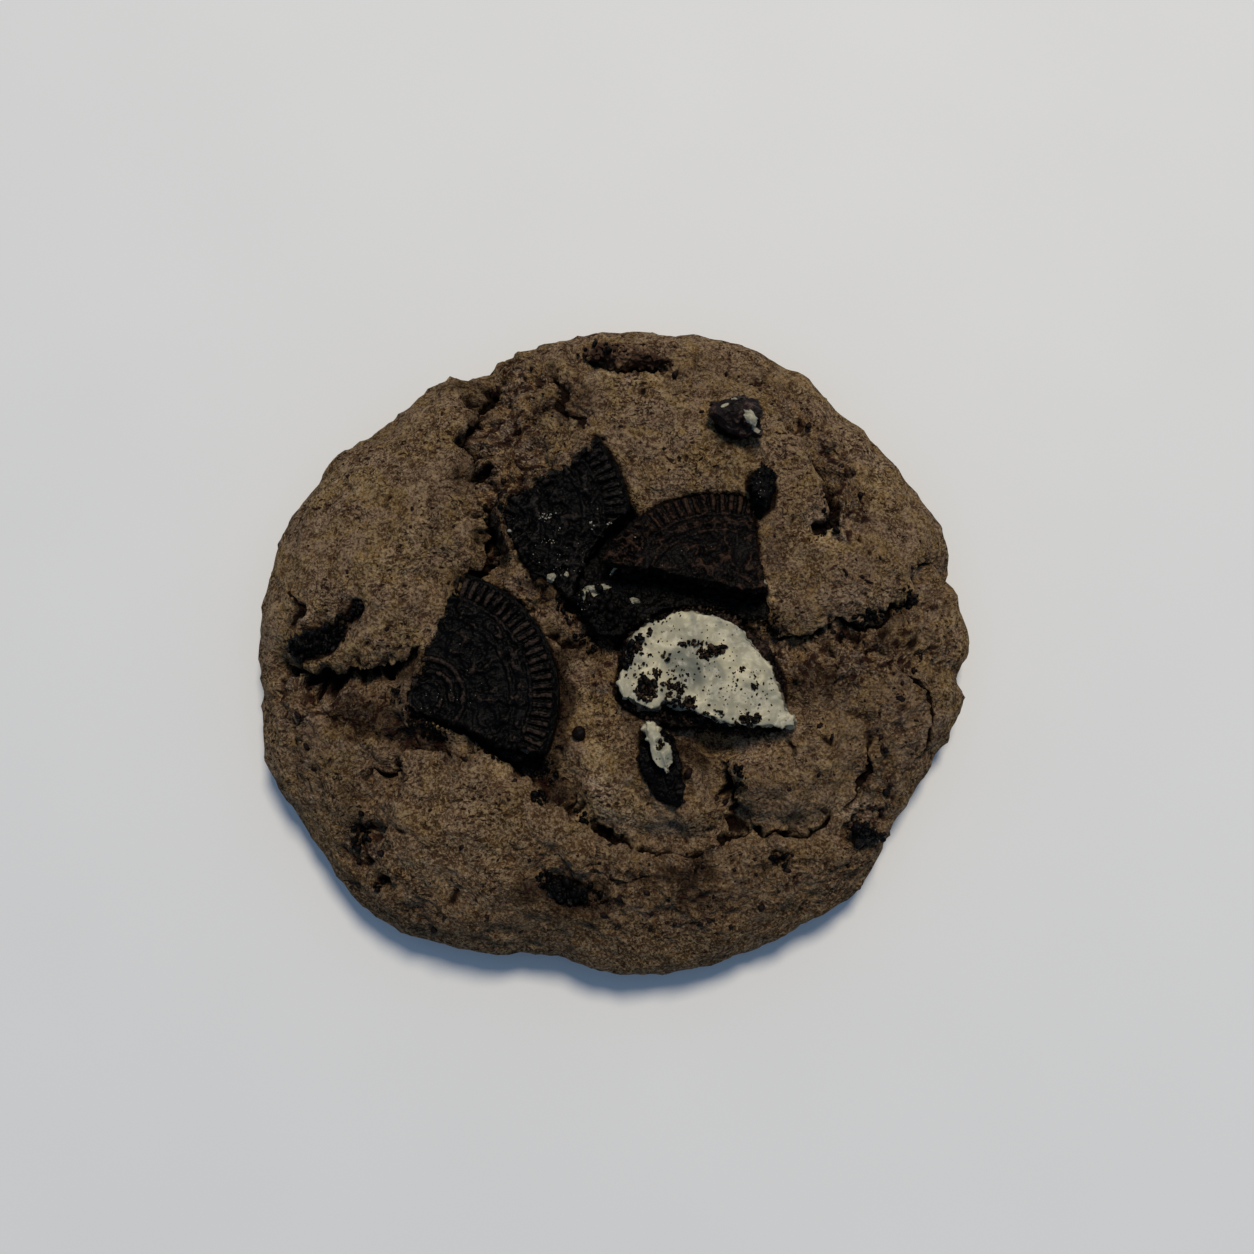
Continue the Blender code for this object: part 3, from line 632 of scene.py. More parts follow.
# %% Find the beds of the pieces
def welded(name):
    """A copy of a CAD node as one closed mesh, in millimetres. The node itself is left alone."""
    bm = bmesh.new()
    bm.from_mesh(frame["nodes"][name].data)
    bmesh.ops.scale(bm, vec=(1 / MM, 1 / MM, 1 / MM), verts=bm.verts)
    bmesh.ops.remove_doubles(bm, verts=bm.verts, dist=1e-3)
    bmesh.ops.recalc_face_normals(bm, faces=bm.faces)
    return bm


def pieces_tree():
    """One search tree of every piece that lies in the dough."""
    joined = bpy.data.meshes.new("joined")
    together = bmesh.new()
    for name in frame["nodes"]:
        if name != "dough":
            bm = welded(name)
            bm.to_mesh(joined)
            bm.free()
            together.from_mesh(joined)
    bpy.data.meshes.remove(joined)
    return BVHTree.FromBMesh(together)


UP = Vector((0, 0, 1))
BED_EDGE = 0.45
in_dough = pieces_tree()


def underside(x, y):
    """The lowest underside above a place, or infinity where nothing lies over it or it is near an edge."""
    lowest = math.inf
    for step_x, step_y in ((0, 0), (BED_EDGE, 0), (-BED_EDGE, 0), (0, BED_EDGE), (0, -BED_EDGE)):
        hit = in_dough.ray_cast(Vector((x + step_x, y + step_y, 0)), UP)[0]
        if hit is None:
            return math.inf
        lowest = hit.z if step_x == step_y == 0 else lowest
    return lowest


def near_piece(places, furthest=3.0):
    """The distance from each place to the nearest piece, up to the furthest that matters."""
    found = [in_dough.find_nearest(Vector(place), furthest)[3] for place in places]
    return np.array([furthest if distance is None else distance for distance in found])


print("bed under the left biscuit at", round(underside(-22, -10), 1), "mm")

# %% [markdown]
# ## The crust
#
# Fine relief needs small squares, but only where there is something to show. The ball's squares are first
# pressed once to see where the cracks, the open crumb and the pieces are. Only those squares are cut again,
# and then the finer ball is pressed and given its relief: broad lumps, small lumps, clumps of crumb and cracks.

# %% Cut the busy squares
TOP_ONLY = 0.35


def refine(bm, crack_reach, whole):
    """Cuts squares in two each way near the cracks, and where whole is set also in crumb and at the pieces."""
    places, rise = press(bm)
    torn = tear(places)
    busy = torn["near"] < crack_reach
    if whole:
        busy |= (torn["crumb"] > 0.38) | (near_piece(places) < 1.2)
    busy &= rise > TOP_ONLY
    chosen = [edge for edge in bm.edges if busy[edge.verts[0].index] and busy[edge.verts[1].index]]
    bmesh.ops.subdivide_edges(bm, edges=chosen, cuts=1, use_grid_fill=True)
    bmesh.ops.triangulate(bm, faces=[face for face in bm.faces if len(face.verts) > 4])
    bm.verts.index_update()
    print("after refining:", sum(len(face.verts) - 2 for face in bm.faces), "triangles")


def set_places(bm, places):
    """Moves each point of a mesh to its place."""
    for vert, place in zip(bm.verts, places):
        vert.co = place


def outward(bm):
    """The direction in which the surface faces at each point."""
    bm.normal_update()
    return np.array([vert.normal for vert in bm.verts])


refine(crust, 2.4, True)
refine(crust, 1.2, False)

# %% [markdown]
# The relief is added up over the pressed ball: broad lumps, small lumps, clumps of crumb, cracks, and the
# crevice round each piece. Where dough baked over the edge of a biscuit, its lip is drawn up over that edge.

# %% Shape the crust
# Where the dough laps over a biscuit: lines along the biscuit's edge
LAPS = (
    ((-25, 12), (-28.5, 4), (-32, -5), (-35.2, -11.5), (-34.4, -13.6)),
    ((-4.4, 31.2), (-7.2, 29.9), (-9.8, 27.1), (-13.0, 25.9), (-16.0, 23.6), (-18.6, 22.3),
     (-19.7, 19.8), (-18.7, 16.8), (-17.5, 13.2)),
)
LAP_WIDE = 1.0
LAP_HIGH = 0.45


def lap_over(places):
    """Draws the dough up over the edges of the biscuits. Returns the places and how much each is in a lap."""
    lapped = np.zeros(len(places))
    wander = 0.8 * waves(places, 2.2, 3, shift=23)
    for line in LAPS:
        away = follow(line, places[:, 0] + wander, places[:, 1] - wander)[0]
        lapped = np.maximum(lapped, np.exp(-((away / LAP_WIDE) ** 2)))
    for row in np.flatnonzero(lapped > 0.02):
        x, y, z = places[row]
        edge = in_dough.find_nearest(Vector((x, y, 40)))[0].z
        places[row, 2] = z + lapped[row] ** 0.5 * max(0, edge + LAP_HIGH - z)
    return places, lapped


# The deep gap between the biscuits, where black crumbs fell, painted near black as the shade in it:
# (x, y, half-length, half-width, bearing)
SHADED_PIT = (3.5, 2.0, 8.0, 4.0, -14)
# The seam where the middle biscuit lies on the back one: no dough stands up in it, and it is painted near black as
# shade
SEAM = ((-6.8, 4.5), (-5.3, 8.5), (-3.4, 12.5), (-0.6, 16.2), (2.4, 19.6))
SEAM_WIDE = 1.5
SEAM_DEEP = 5.0

places, rise = press(crust)
set_places(crust, places)
facing = outward(crust)
if facing[np.argmax(places[:, 2])][2] < 0:
    bmesh.ops.reverse_faces(crust, faces=crust.faces)
    facing = -facing
on_top = np.clip(rise * 2.5, 0, 1)
above_foot = np.clip((places[:, 2] - 0.5) / 3, 0, 1)
torn = tear(places)
wobble = np.stack([waves(places, 1.6, 2, shift=shift) for shift in (31, 33, 35)], 1)
coarse, fine = clumps(places + 0.8 * wobble, 1.9, 2), clumps(places + 0.4 * wobble, 0.85, 4)
relief = 0.65 * waves(places, 4.6, 3, shift=17) + 0.36 * waves(places, 1.5, 2, shift=19)
rugged = waves(places + 0.8 * wobble, 3.4, 4, shift=37)
relief += torn["crumb"] * (1.7 * rugged + 0.6 * coarse + 0.35 * fine - 1.7)
relief *= above_foot
relief -= on_top * torn["drop"]
close = near_piece(places + facing * relief[:, None], 3.0)
crevice = np.exp(-((close / 0.6) ** 2)) * (rise > 0)
relief -= 0.5 * crevice
shaped = places + facing * relief[:, None]
shaped[:, :2] += torn["move"] * on_top[:, None]
seam = np.exp(-((follow(SEAM, shaped[:, 0], shaped[:, 1])[0] / SEAM_WIDE) ** 4)) * (rise > 0)
shaped[:, 2] -= SEAM_DEEP * seam
shaped, lapped = lap_over(shaped)
beds = np.array([underside(x, y) if z > 6 else math.inf for x, y, z in shaped])
shaped[:, 2] = np.where(lapped < 0.4, np.minimum(shaped[:, 2], beds + 0.15), shaped[:, 2])
set_places(crust, shaped)

gaps = waves(places, 1.3, 2, shift=43)
hollow = torn["crumb"] * np.clip(-3.4 * gaps - 0.5 * rugged - 0.3 * coarse - 0.25, 0, 1)
# Painted shade: by these layers the crust's material darkens the cracks, pits and dents, the holes of the crumb, the
# crevices and the deep gap.
layers = {
    "crack": torn["crack"] * on_top,
    "crumb": torn["crumb"] * on_top,
    "hollow": hollow,
    "stain": torn["stain"] * on_top,
    "crevice": crevice * np.clip(1 - 3 * lapped, 0, 1),
    "pit": np.maximum(seam, np.clip(1.5 - oval(shaped[:, 0], shaped[:, 1], *SHADED_PIT), 0, 1)),
}
for name, values in layers.items():
    layer = crust.verts.layers.float.new(name)
    for vert, value in zip(crust.verts, values):
        vert[layer] = value
everything = [*crust.verts, *crust.edges, *crust.faces]
bmesh.ops.bisect_plane(crust, geom=everything, dist=1e-4, plane_no=(0, 0, 1), clear_inner=True)
bmesh.ops.holes_fill(crust, edges=[edge for edge in crust.edges if edge.is_boundary])
bmesh.ops.recalc_face_normals(crust, faces=crust.faces)
print("crust:", sum(len(face.verts) - 2 for face in crust.faces), "triangles")

# %% [markdown]
# A finished piece is put in metres, named and given its material, and the CAD nodes it stands for are hidden.
# One helper does that for all pieces, and counts the triangles on the way.

# %% A helper that finishes pieces
def deliver(name, bm, material, slot, *stands_for):
    """Makes the named object of a mesh in millimetres, on the cookie's one body."""
    bmesh.ops.scale(bm, vec=(MM, MM, MM), verts=bm.verts)
    mesh = bpy.data.meshes.new(name)
    bm.to_mesh(mesh)
    bm.free()
    mesh.shade_smooth()
    mesh.materials.append(material)
    piece = bpy.data.objects.new(name, mesh)
    scene.collection.objects.link(piece)
    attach(piece, "root")
    if stands_for:
        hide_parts(*stands_for)
    print(f"{name}: {sum(len(face.vertices) - 2 for face in mesh.polygons)} triangles")
    return piece


# %% [markdown]
# ## The crust's finish
#
# Cocoa dough bakes to a dull grey-brown, with olive and greyish patches and a fine light and dark grain. Pale
# and dark threads and creases are the lines where a noise crosses its middle value, kept in short stretches by
# a second noise. Short dashes are the cells of a stretched pattern, picked by chance. The attributes of the mesh
# then colour the open crumb and tint the stains, which are partly baked tone and partly painted shade. Painted
# shade also blackens the cracks, the holes of the crumb, the crevices and the deep gap, and darkens the crust
# towards the near side.

# %% The crust's material
def dashes(tree, place, turn, kept):
    """Short marks that all run about one way, turned by that many radians. Kept is the share left out."""
    tilted = add(tree, "Mapping", {"Vector": place, "Rotation": (0.5, 0.3, turn), "Scale": (0.42, 0.95, 0.8)})
    cells = add(tree, "TexVoronoi", {"Vector": tilted.outputs["Vector"], "Scale": 1.0})
    picked = ramp(tree, add(tree, "SeparateColor", {0: cells.outputs["Color"]}).outputs[0], kept, kept + 0.03)
    return sums(tree, "MULTIPLY", ramp(tree, cells.outputs["Distance"], 0.26, 0.15), picked)


def threads(tree, place, size, shift, wide=0.035):
    """Curly lines: where a noise crosses its middle value, kept in short stretches by a second noise."""
    moved = add(tree, "VectorMath", {0: place, 1: (shift, shift, shift)}, operation="ADD").outputs[0]
    crossing = sums(tree, "ABSOLUTE", sums(tree, "SUBTRACT", cloud(tree, moved, size, 1, 1.6), 0.5))
    stretch = ramp(tree, cloud(tree, moved, 1.3, 2), 0.50, 0.56)
    return sums(tree, "MULTIPLY", ramp(tree, crossing, 1.4 * wide, 0.6 * wide), stretch)


def crust_finish():
    made, tree, surface = finish("cocoa_crust", 0.8, 0.05)
    place = millimetres(tree)
    olive, greyish, dim = (0.186, 0.112, 0.039, 1), (0.176, 0.109, 0.065, 1), (0.062, 0.032, 0.015, 1)
    colour = blend(tree, ramp(tree, cloud(tree, place, 8, 3, 1.2), 0.42, 0.58), olive, greyish)
    colour = blend(tree, ramp(tree, cloud(tree, place, 6, 5, 1.2), 0.48, 0.68, 0, 0.8), colour, dim)
    mottle = cloud(tree, place, 2.7, 4, 0.8)
    colour = blend(tree, ramp(tree, mottle, 0.50, 0.62, 0, 0.68), colour, (0.056, 0.028, 0.014, 1))
    colour = blend(tree, ramp(tree, mottle, 0.47, 0.34, 0, 0.5), colour, (0.25, 0.175, 0.098, 1))
    # Painted shade: the crust is blended darker and warmer from Y = -12 mm towards the near side, which faces away
    # from the lamp.
    across = add(tree, "SeparateXYZ", {0: place}).outputs["Y"]
    colour = blend(tree, ramp(tree, across, -12, -50, 0, 0.79), colour, (0.080, 0.042, 0.017, 1))

    grain = cloud(tree, place, 0.5, 3, 0.6)
    colour = blend(tree, ramp(tree, grain, 0.50, 0.62, 0, 0.56), colour, (0.325, 0.229, 0.130, 1))
    colour = blend(tree, ramp(tree, grain, 0.50, 0.39, 0, 0.71), colour, (0.040, 0.019, 0.009, 1))
    pale = sums(tree, "MAXIMUM", threads(tree, place, 1.1, 7), threads(tree, place, 1.6, 3))
    colour = blend(tree, sums(tree, "MULTIPLY", pale, 0.40), colour, (0.33, 0.25, 0.155, 1))

    wobble = add(tree, "TexNoise", {"Vector": place, "Scale": 0.9, "Detail": 2.0}).outputs["Color"]
    pushed = add(tree, "VectorMath", {0: place, 1: wobble}, operation="ADD").outputs[0]
    creases = threads(tree, place, 3.4, 31, 0.012)
    dark = sums(tree, "MAXIMUM", sums(tree, "MULTIPLY", threads(tree, place, 1.4, 19), 0.75), creases)
    for turn, kept in ((0.5, 0.66), (1.5, 0.60), (2.6, 0.62)):
        dark = sums(tree, "MAXIMUM", dark, dashes(tree, pushed, turn, kept))
    dark = sums(tree, "MULTIPLY", dark, ramp(tree, cloud(tree, place, 9, 2), 0.38, 0.58, 0.15, 1.0))
    colour = blend(tree, sums(tree, "MULTIPLY", dark, 0.95), colour, (0.014, 0.0055, 0.003, 1))

    yellow, grey, brown = (0.23, 0.138, 0.060, 1), (0.165, 0.115, 0.082, 1), (0.050, 0.021, 0.012, 1)
    flesh = blend(tree, ramp(tree, cloud(tree, place, 3.2, 3, 1.0), 0.44, 0.58), yellow, grey)
    flesh = blend(tree, ramp(tree, cloud(tree, place, 2.0, 3, 0.6), 0.47, 0.60, 0, 0.85), flesh, brown)
    glint = cloud(tree, place, 0.45, 2, 0.5)
    flesh = blend(tree, ramp(tree, glint, 0.54, 0.66, 0, 0.7), flesh, (0.42, 0.33, 0.22, 1))
    flesh = blend(tree, ramp(tree, glint, 0.48, 0.38, 0, 0.85), flesh, (0.022, 0.009, 0.005, 1))
    colour = blend(tree, sums(tree, "MULTIPLY", attribute(tree, "crumb"), 0.85), colour, flesh)
    # Painted shade, partly: the stains darken baked patches and also places where a valley or a piece shades the
    # crust; below 0 they make it paler.
    stain = attribute(tree, "stain")
    colour = tint(tree, ramp(tree, stain, 0.0, 0.9, 0, 0.88), colour, (0.17, 0.15, 0.15, 1))
    colour = tint(tree, ramp(tree, stain, 0.0, -0.8, 0, 0.6), colour, (1.9, 2.05, 2.3, 1))

    # Painted shade: near black in the holes of the open crumb, and in the cracks, pits, crevices round the pieces and
    # the deep gap.
    colour = blend(tree, ramp(tree, attribute(tree, "hollow"), 0.15, 0.8, 0, 0.9), colour, (0.020, 0.0065, 0.0045, 1))
    deep = sums(tree, "MAXIMUM", attribute(tree, "crack"), sums(tree, "MULTIPLY", attribute(tree, "crevice"), 0.8))
    deep = sums(tree, "MAXIMUM", deep, sums(tree, "MULTIPLY", attribute(tree, "pit"), 1.6))
    colour = blend(tree, ramp(tree, deep, 0.1, 0.75, 0, 0.97), colour, (0.006, 0.0022, 0.0014, 1))
    tree.links.new(colour, surface.inputs["Base Color"])

    height = sums(tree, "ADD", sums(tree, "MULTIPLY", grain, 0.6), sums(tree, "MULTIPLY", dark, -0.5))
    height = sums(tree, "SUBTRACT", height, sums(tree, "MULTIPLY", ramp(tree, mottle, 0.35, 0.70), 0.7))
    clods = sums(tree, "MULTIPLY", attribute(tree, "crumb"), sums(tree, "MULTIPLY", cloud(tree, place, 0.9, 3), 2.5))
    raise_bumps(tree, surface, sums(tree, "ADD", height, clods), 0.58)
    return made


crust_material = crust_finish()
deliver("cookie_dough", crust, crust_material, "dough", "dough")

# %% [markdown]
# ## The embossed biscuits
#
# A sandwich biscuit is stamped before it is baked. Ribs run round its rim, and rings, bars and rays fill the
# middle. The CAD copy has the right outline and place, but a plain face. It is turned to lie flat about its own
# middle, remeshed into small even squares, embossed by height, and laid back. Broken sides are then crumbled.

# %% Remesh a piece into small even squares
def even_squares(bm, voxel):
    """The same closed shape in even squares of that size."""
    rough = bpy.data.objects.new("rough", bpy.data.meshes.new("rough"))
    bm.to_mesh(rough.data)
    bm.free()
    scene.collection.objects.link(rough)
    remesh = rough.modifiers.new("even", "REMESH")
    remesh.mode = "VOXEL"
    remesh.voxel_size = voxel
    depsgraph = bpy.context.evaluated_depsgraph_get()
    even = bpy.data.meshes.new_from_object(rough.evaluated_get(depsgraph))
    made = bmesh.new()
    made.from_mesh(even)
    bpy.data.meshes.remove(even)
    spare = rough.data
    bpy.data.objects.remove(rough)
    bpy.data.meshes.remove(spare)
    return made


def points_of(bm):
    """The places of a mesh's points, one row each."""
    return np.array([vert.co for vert in bm.verts])


def keep_values(bm, name, values):
    """Stores a number at each point, for the material to read."""
    layer = bm.verts.layers.float.new(name)
    for vert, value in zip(bm.verts, values):
        vert[layer] = value


# %% Emboss and crumble the wafers
RIDGES = 80
RIM_OUTER = 21.5
BISCUIT_RADIUS = 22.2
RIB_HIGH = 0.75
# Raised rings: (radius, half-width, height)
RINGS = ((17.6, 0.30, 0.4), (14.4, 0.36, 0.5), (6.5, 0.5, 0.65), (4.6, 0.45, 0.65), (2.7, 0.45, 0.6))
BARS = 16
RAYS = 12

# Each biscuit's middle, and how much its face rises for each millimetre along X and Y
PLACES = {
    "wafer_left": ((-31.2, -12.2, 17.6), (0.09, -0.03)),
    "wafer_top": ((-19.3, 18.0, 18.2), (0.03, 0.04)),
    "wafer_mid": ((18.8, 2.3, 21.4), (-0.08, -0.22)),
}


def band(value, low, high, soft):
    """1 between two limits, falling to 0 over a soft edge outside them."""
    return np.clip((value - low) / soft + 1, 0, 1) * np.clip((high - value) / soft + 1, 0, 1)


def emboss(radius, angle):
    """Height of the stamped pattern over a biscuit's face."""
    wave = np.clip((np.cos(RIDGES * angle) + 0.55) / 0.9, 0, 1)
    high = RIB_HIGH * wave * band(radius, 18.2, 21.2, 0.35)
    for ring, half_width, height in RINGS:
        high += height * np.exp(-(((radius - ring) / half_width) ** 4))
    bar_turn = np.angle(np.exp(1j * BARS * angle)) / BARS
    bar = np.hypot(bar_turn * radius / 2.5, (radius - 16.1) / 0.95)
    high += 0.7 * np.exp(-(bar**4)) - 0.4 * np.exp(-((bar / 0.5) ** 4))
    ray_turn = np.angle(np.exp(1j * RAYS * angle)) / RAYS
    leaf = np.hypot(ray_turn * radius / 1.25, (radius - 10.6) / 3.0)
    high += 0.65 * np.exp(-(leaf**4)) - 0.45 * np.exp(-((leaf / 0.5) ** 4))
    return high


def laid(place):
    """The matrix that lays a flat biscuit in its place."""
    middle, (slope_x, slope_y) = place
    turned = UP.rotation_difference(Vector((-slope_x, -slope_y, 1)).normalized())
    return Matrix.Translation(middle) @ turned.to_matrix().to_4x4()


def wafer(name, wear, shift, material, worn=(), shade=0.0):
    """A broken wafer: wear is how far baking and crumbs have blurred its pattern, from 0 to 1. Worn spots are
    blurred wholly: (x, y, half-width) from the biscuit's middle. Shade is how much darker the blurred parts are."""
    bm = welded(name)
    lay = laid(PLACES[name])
    bmesh.ops.transform(bm, matrix=lay.inverted(), verts=bm.verts)
    bm = even_squares(bm, 0.17)
    facing = outward(bm)
    flat = points_of(bm)
    radius = np.hypot(flat[:, 0], flat[:, 1])
    angle = np.arctan2(flat[:, 1], flat[:, 0])
    top = np.clip(facing[:, 2] * 2, 0, 1) * (flat[:, 2] > -0.7)
    broken = (np.abs(facing[:, 2]) < 0.75) & (radius < RIM_OUTER)
    lumps = waves(flat, 1.7, 3, shift=shift)
    worms = 1 - np.clip(np.abs(waves(flat, 1.6, 2, shift=shift + 1)) * 4, 0, 1)
    grit = clumps(flat, 0.9, shift)
    blur = np.clip(wear + 0.5 * waves(flat, 5.0, 2, shift=shift + 3), 0, 1)
    blur *= np.where(radius > 17.6, 0.45, 1)
    for px, py, half_width in worn:
        blur = np.maximum(blur, np.exp(-((np.hypot(flat[:, 0] - px, flat[:, 1] - py) / half_width) ** 4)))
    stamped = emboss(radius, angle) * (1 - 0.8 * blur) + (0.3 + 0.8 * blur) * lumps
    stamped += blur * (0.45 * worms + 0.4 * grit) - 0.25
    flat[:, 2] += top * (stamped + np.minimum(0, -flat[:, 2]))
    crumble = 0.5 * waves(flat, 3.2, 2, shift=shift + 4) + 0.4 * waves(flat, 1.3, 3, shift=shift + 5)
    crumble += 0.4 * (grit - 0.5)
    flat += facing * (crumble * broken)[:, None]
    flat += facing * (0.05 * waves(flat, 0.5, 2, shift=shift + 7))[:, None]
    set_places(bm, flat)
    high = 0.3 + np.where(top > 0.5, stamped, crumble) * 1.1 - shade * blur
    keep_values(bm, "high", np.clip(high, 0, 1))
    bmesh.ops.transform(bm, matrix=lay, verts=bm.verts)
    return deliver("embossed_" + name, bm, material, "biscuit", name)


# %% [markdown]
# Dark cocoa biscuit is nearly black and dry. Its low places are painted near black as shade, so the tops of
# the ribs stand paler than the grooves, and fine flour dust catches the light on some of them.

# %% The biscuit's material
def biscuit_finish(name, ridge, dust, groove_shade=(0.0006, 0.0004, 0.0003, 1)):
    made, tree, surface = finish(name, 0.48, 0.08)
    place = millimetres(tree)
    grain = cloud(tree, place, 0.6, 3, 0.8)
    patches = cloud(tree, place, 5, 3, 0.8)
    high = sums(tree, "ADD", attribute(tree, "high"), ramp(tree, grain, 0.3, 0.7, -0.3, 0.3))
    # Painted shade: the low places of the pattern are painted near black and the raised ones take the biscuit's ridge
    # colour.
    colour = blend(tree, ramp(tree, high, 0.40, 1.05), groove_shade, ridge)
    colour = blend(tree, ramp(tree, patches, 0.5, 0.7, 0, 0.5), colour, groove_shade)
    dusty = sums(tree, "MULTIPLY", ramp(tree, cloud(tree, place, 0.5, 2), 0.66, 0.72), ramp(tree, high, 0.4, 0.8))
    dusty = sums(tree, "MULTIPLY", dusty, ramp(tree, cloud(tree, place, 3.5, 2), 0.45, 0.6, 0, dust))
    colour = blend(tree, dusty, colour, (0.16, 0.14, 0.115, 1))
    tree.links.new(colour, surface.inputs["Base Color"])
    raise_bumps(tree, surface, grain, 0.25)
    return made


plain_biscuit = biscuit_finish("dark_biscuit", (0.040, 0.026, 0.019, 1), 0.25)
dusty_biscuit = biscuit_finish("dusty_biscuit", (0.021, 0.0165, 0.014, 1), 0.9)
toasted_biscuit = biscuit_finish("toasted_biscuit", (0.040, 0.0205, 0.0115, 1), 0.2, (0.0024, 0.0013, 0.0008, 1))
# Painted shade, mostly: this near-black copy of the biscuit is worn by the lower halves, the upright shard, the crumb
# lump and the dark crumbs, most of which lie in the shade of the pieces above.
black_biscuit = biscuit_finish("black_biscuit", (0.0055, 0.0036, 0.003, 1), 0.1)
crumbed_biscuit = biscuit_finish("crumbed_biscuit", (0.070, 0.043, 0.027, 1), 0.1, (0.004, 0.002, 0.0015, 1))
wafer("wafer_left", 0.30, 21, plain_biscuit, ((-1.5, 4.0, 2.2), (2.0, -3.4, 2.0)), 0.35)
wafer("wafer_top", 0.62, 27, dusty_biscuit)
wafer("wafer_mid", 0.42, 33, toasted_biscuit, ((-18.5, 9.5, 4.6), (-14.5, 13.5, 2.6)))

# %% [markdown]
# ## The lower wafers and the lumps
#
# Under the cream lies the other half of each biscuit, of which only broken edges show. Lumps of biscuit and
# chocolate stick out elsewhere. None of them shows an embossed face, so each CAD copy is remeshed and roughened
# along its own facing by coarse clumps and finer grit.

# %% Roughen the lower wafers and lumps
def rough_piece(name, slot, material, voxel, coarse, shift, size=1.8):
    """A broken lump: its CAD copy in small squares, with clumps and grit of the given coarseness."""
    bm = even_squares(welded(name), voxel)
    places = points_of(bm)
    facing = outward(bm)
    wobble = np.stack([waves(places, 1.4, 2, shift=shift + step) for step in (5, 6, 7)], 1)
    rough = 1.2 * waves(places, 2 * size, 3, shift=shift) + 1.0 * clumps(places + 0.6 * wobble, size * 0.8, shift)
    rough = coarse * (rough - 0.6 + 0.5 * (clumps(places + 0.3 * wobble, size * 0.4, shift + 1) - 0.5))
    set_places(bm, places + facing * rough[:, None])
    keep_values(bm, "high", np.clip(0.5 + rough / (1.8 * coarse), 0, 1))
    return deliver("rough_" + name, bm, material, slot, name)


def chocolate_finish(name, ridge, roughness, groove_shade=(0.0012, 0.0008, 0.0006, 1)):
    made, tree, surface = finish(name, roughness, 0.12)
    place = millimetres(tree)
    grain = cloud(tree, place, 0.7, 4, 1.0)
    high = sums(tree, "ADD", attribute(tree, "high"), ramp(tree, grain, 0.3, 0.7, -0.3, 0.3))
    # Painted shade, on the rough pieces: the colour runs from near black where the kept height is low to the lump's
    # own colour where it is high.
    colour = blend(tree, ramp(tree, high, 0.35, 1.0), groove_shade, ridge)
    tree.links.new(colour, surface.inputs["Base Color"])
    raise_bumps(tree, surface, grain, 0.25)
    return made


chocolate = chocolate_finish("dark_chocolate", (0.0055, 0.0035, 0.003, 1), 0.45, (0.0007, 0.0004, 0.0003, 1))
browned = chocolate_finish("browned_chunk", (0.19, 0.115, 0.062, 1), 0.7, (0.045, 0.022, 0.012, 1))
reddish = chocolate_finish("reddish_nugget", (0.072, 0.038, 0.027, 1), 0.45, (0.007, 0.0032, 0.0025, 1))
baked = chocolate_finish("baked_bits", (0.019, 0.008, 0.0052, 1), 0.6, (0.004, 0.0015, 0.0011, 1))
rough_piece("base_left", "biscuit", black_biscuit, 0.25, 0.6, 40)
rough_piece("base_mid", "biscuit", black_biscuit, 0.25, 0.6, 41)
rough_piece("base_disc", "biscuit", crumbed_biscuit, 0.25, 0.7, 42)
rough_piece("shard_upright", "biscuit", black_biscuit, 0.16, 0.6, 50, 2.2)
rough_piece("nugget", "biscuit", reddish, 0.16, 0.4, 51, 3.0)
rough_piece("crumb_lump", "biscuit", black_biscuit, 0.16, 0.6, 52, 2.0)
rough_piece("chunk_back", "chunk", browned, 0.18, 0.8, 61, 2.4)
for order, name in enumerate(("chunk_left", "chunk_inner", "chunk_front", "chunk_right")):
    rough_piece(name, "chunk", chocolate, 0.18, 1.1, 62 + order, 2.0)

# %% [markdown]
# ## The cream
#
# Vanilla cream is firm fat and sugar: a smooth, slightly waxy face where the upper biscuit came away, with soft
# dents, and a torn edge where it broke. Its relief is softer and lower than the biscuit's.

# %% Shape the cream
def cream_piece(name, voxel, soft, torn, shift, dirt_and_shade=0.0, dents=(), shade_greys=()):
    """A layer of cream: a softly uneven face, a torn edge, dents at (x, y, half-width, depth), and ovals greyed as
    painted shade at (x, y, half-length, half-width, bearing, share). Dirt darkens the whole layer, partly as dirt
    and partly as painted shade where it lies under a biscuit."""
    bm = even_squares(welded(name), voxel)
    places = points_of(bm)
    facing = outward(bm)
    edge = np.clip(1.1 - facing[:, 2], 0, 1)
    relief = soft * waves(places, 5.0, 2, shift=shift) + 0.15 * soft * waves(places, 1.6, 2, shift=shift + 1)
    relief += edge * torn * (waves(places, 1.8, 3, shift=shift + 2) + 0.6 * clumps(places, 1.1, shift) - 0.3)
    for px, py, half_width, depth in dents:
        relief -= depth * np.exp(-((np.hypot(places[:, 0] - px, places[:, 1] - py) / half_width) ** 4))
    grey = np.zeros(len(places))
    for cx, cy, long, wide, bearing, share in shade_greys:
        inside = 1.3 - oval(places[:, 0], places[:, 1], cx, cy, long, wide, bearing)
        grey = np.maximum(grey, share * np.clip(inside + 0.5 * waves(places, 3.0, 3, shift=shift + 5), 0, 1))
    set_places(bm, places + facing * relief[:, None])
    # Partly painted shade: the cream is greyed in the listed ovals, and darkened towards its torn sides and where a
    # layer lies under a biscuit, as well as by crumbs.
    keep_values(bm, "grey", grey)
    keep_values(bm, "soiled", np.clip(edge + 0.7 * waves(places, 3.0, 3, shift=shift + 3) - 0.25 + dirt_and_shade, 0, 1))
    return deliver("soft_" + name, bm, cream_material, "cream", name)


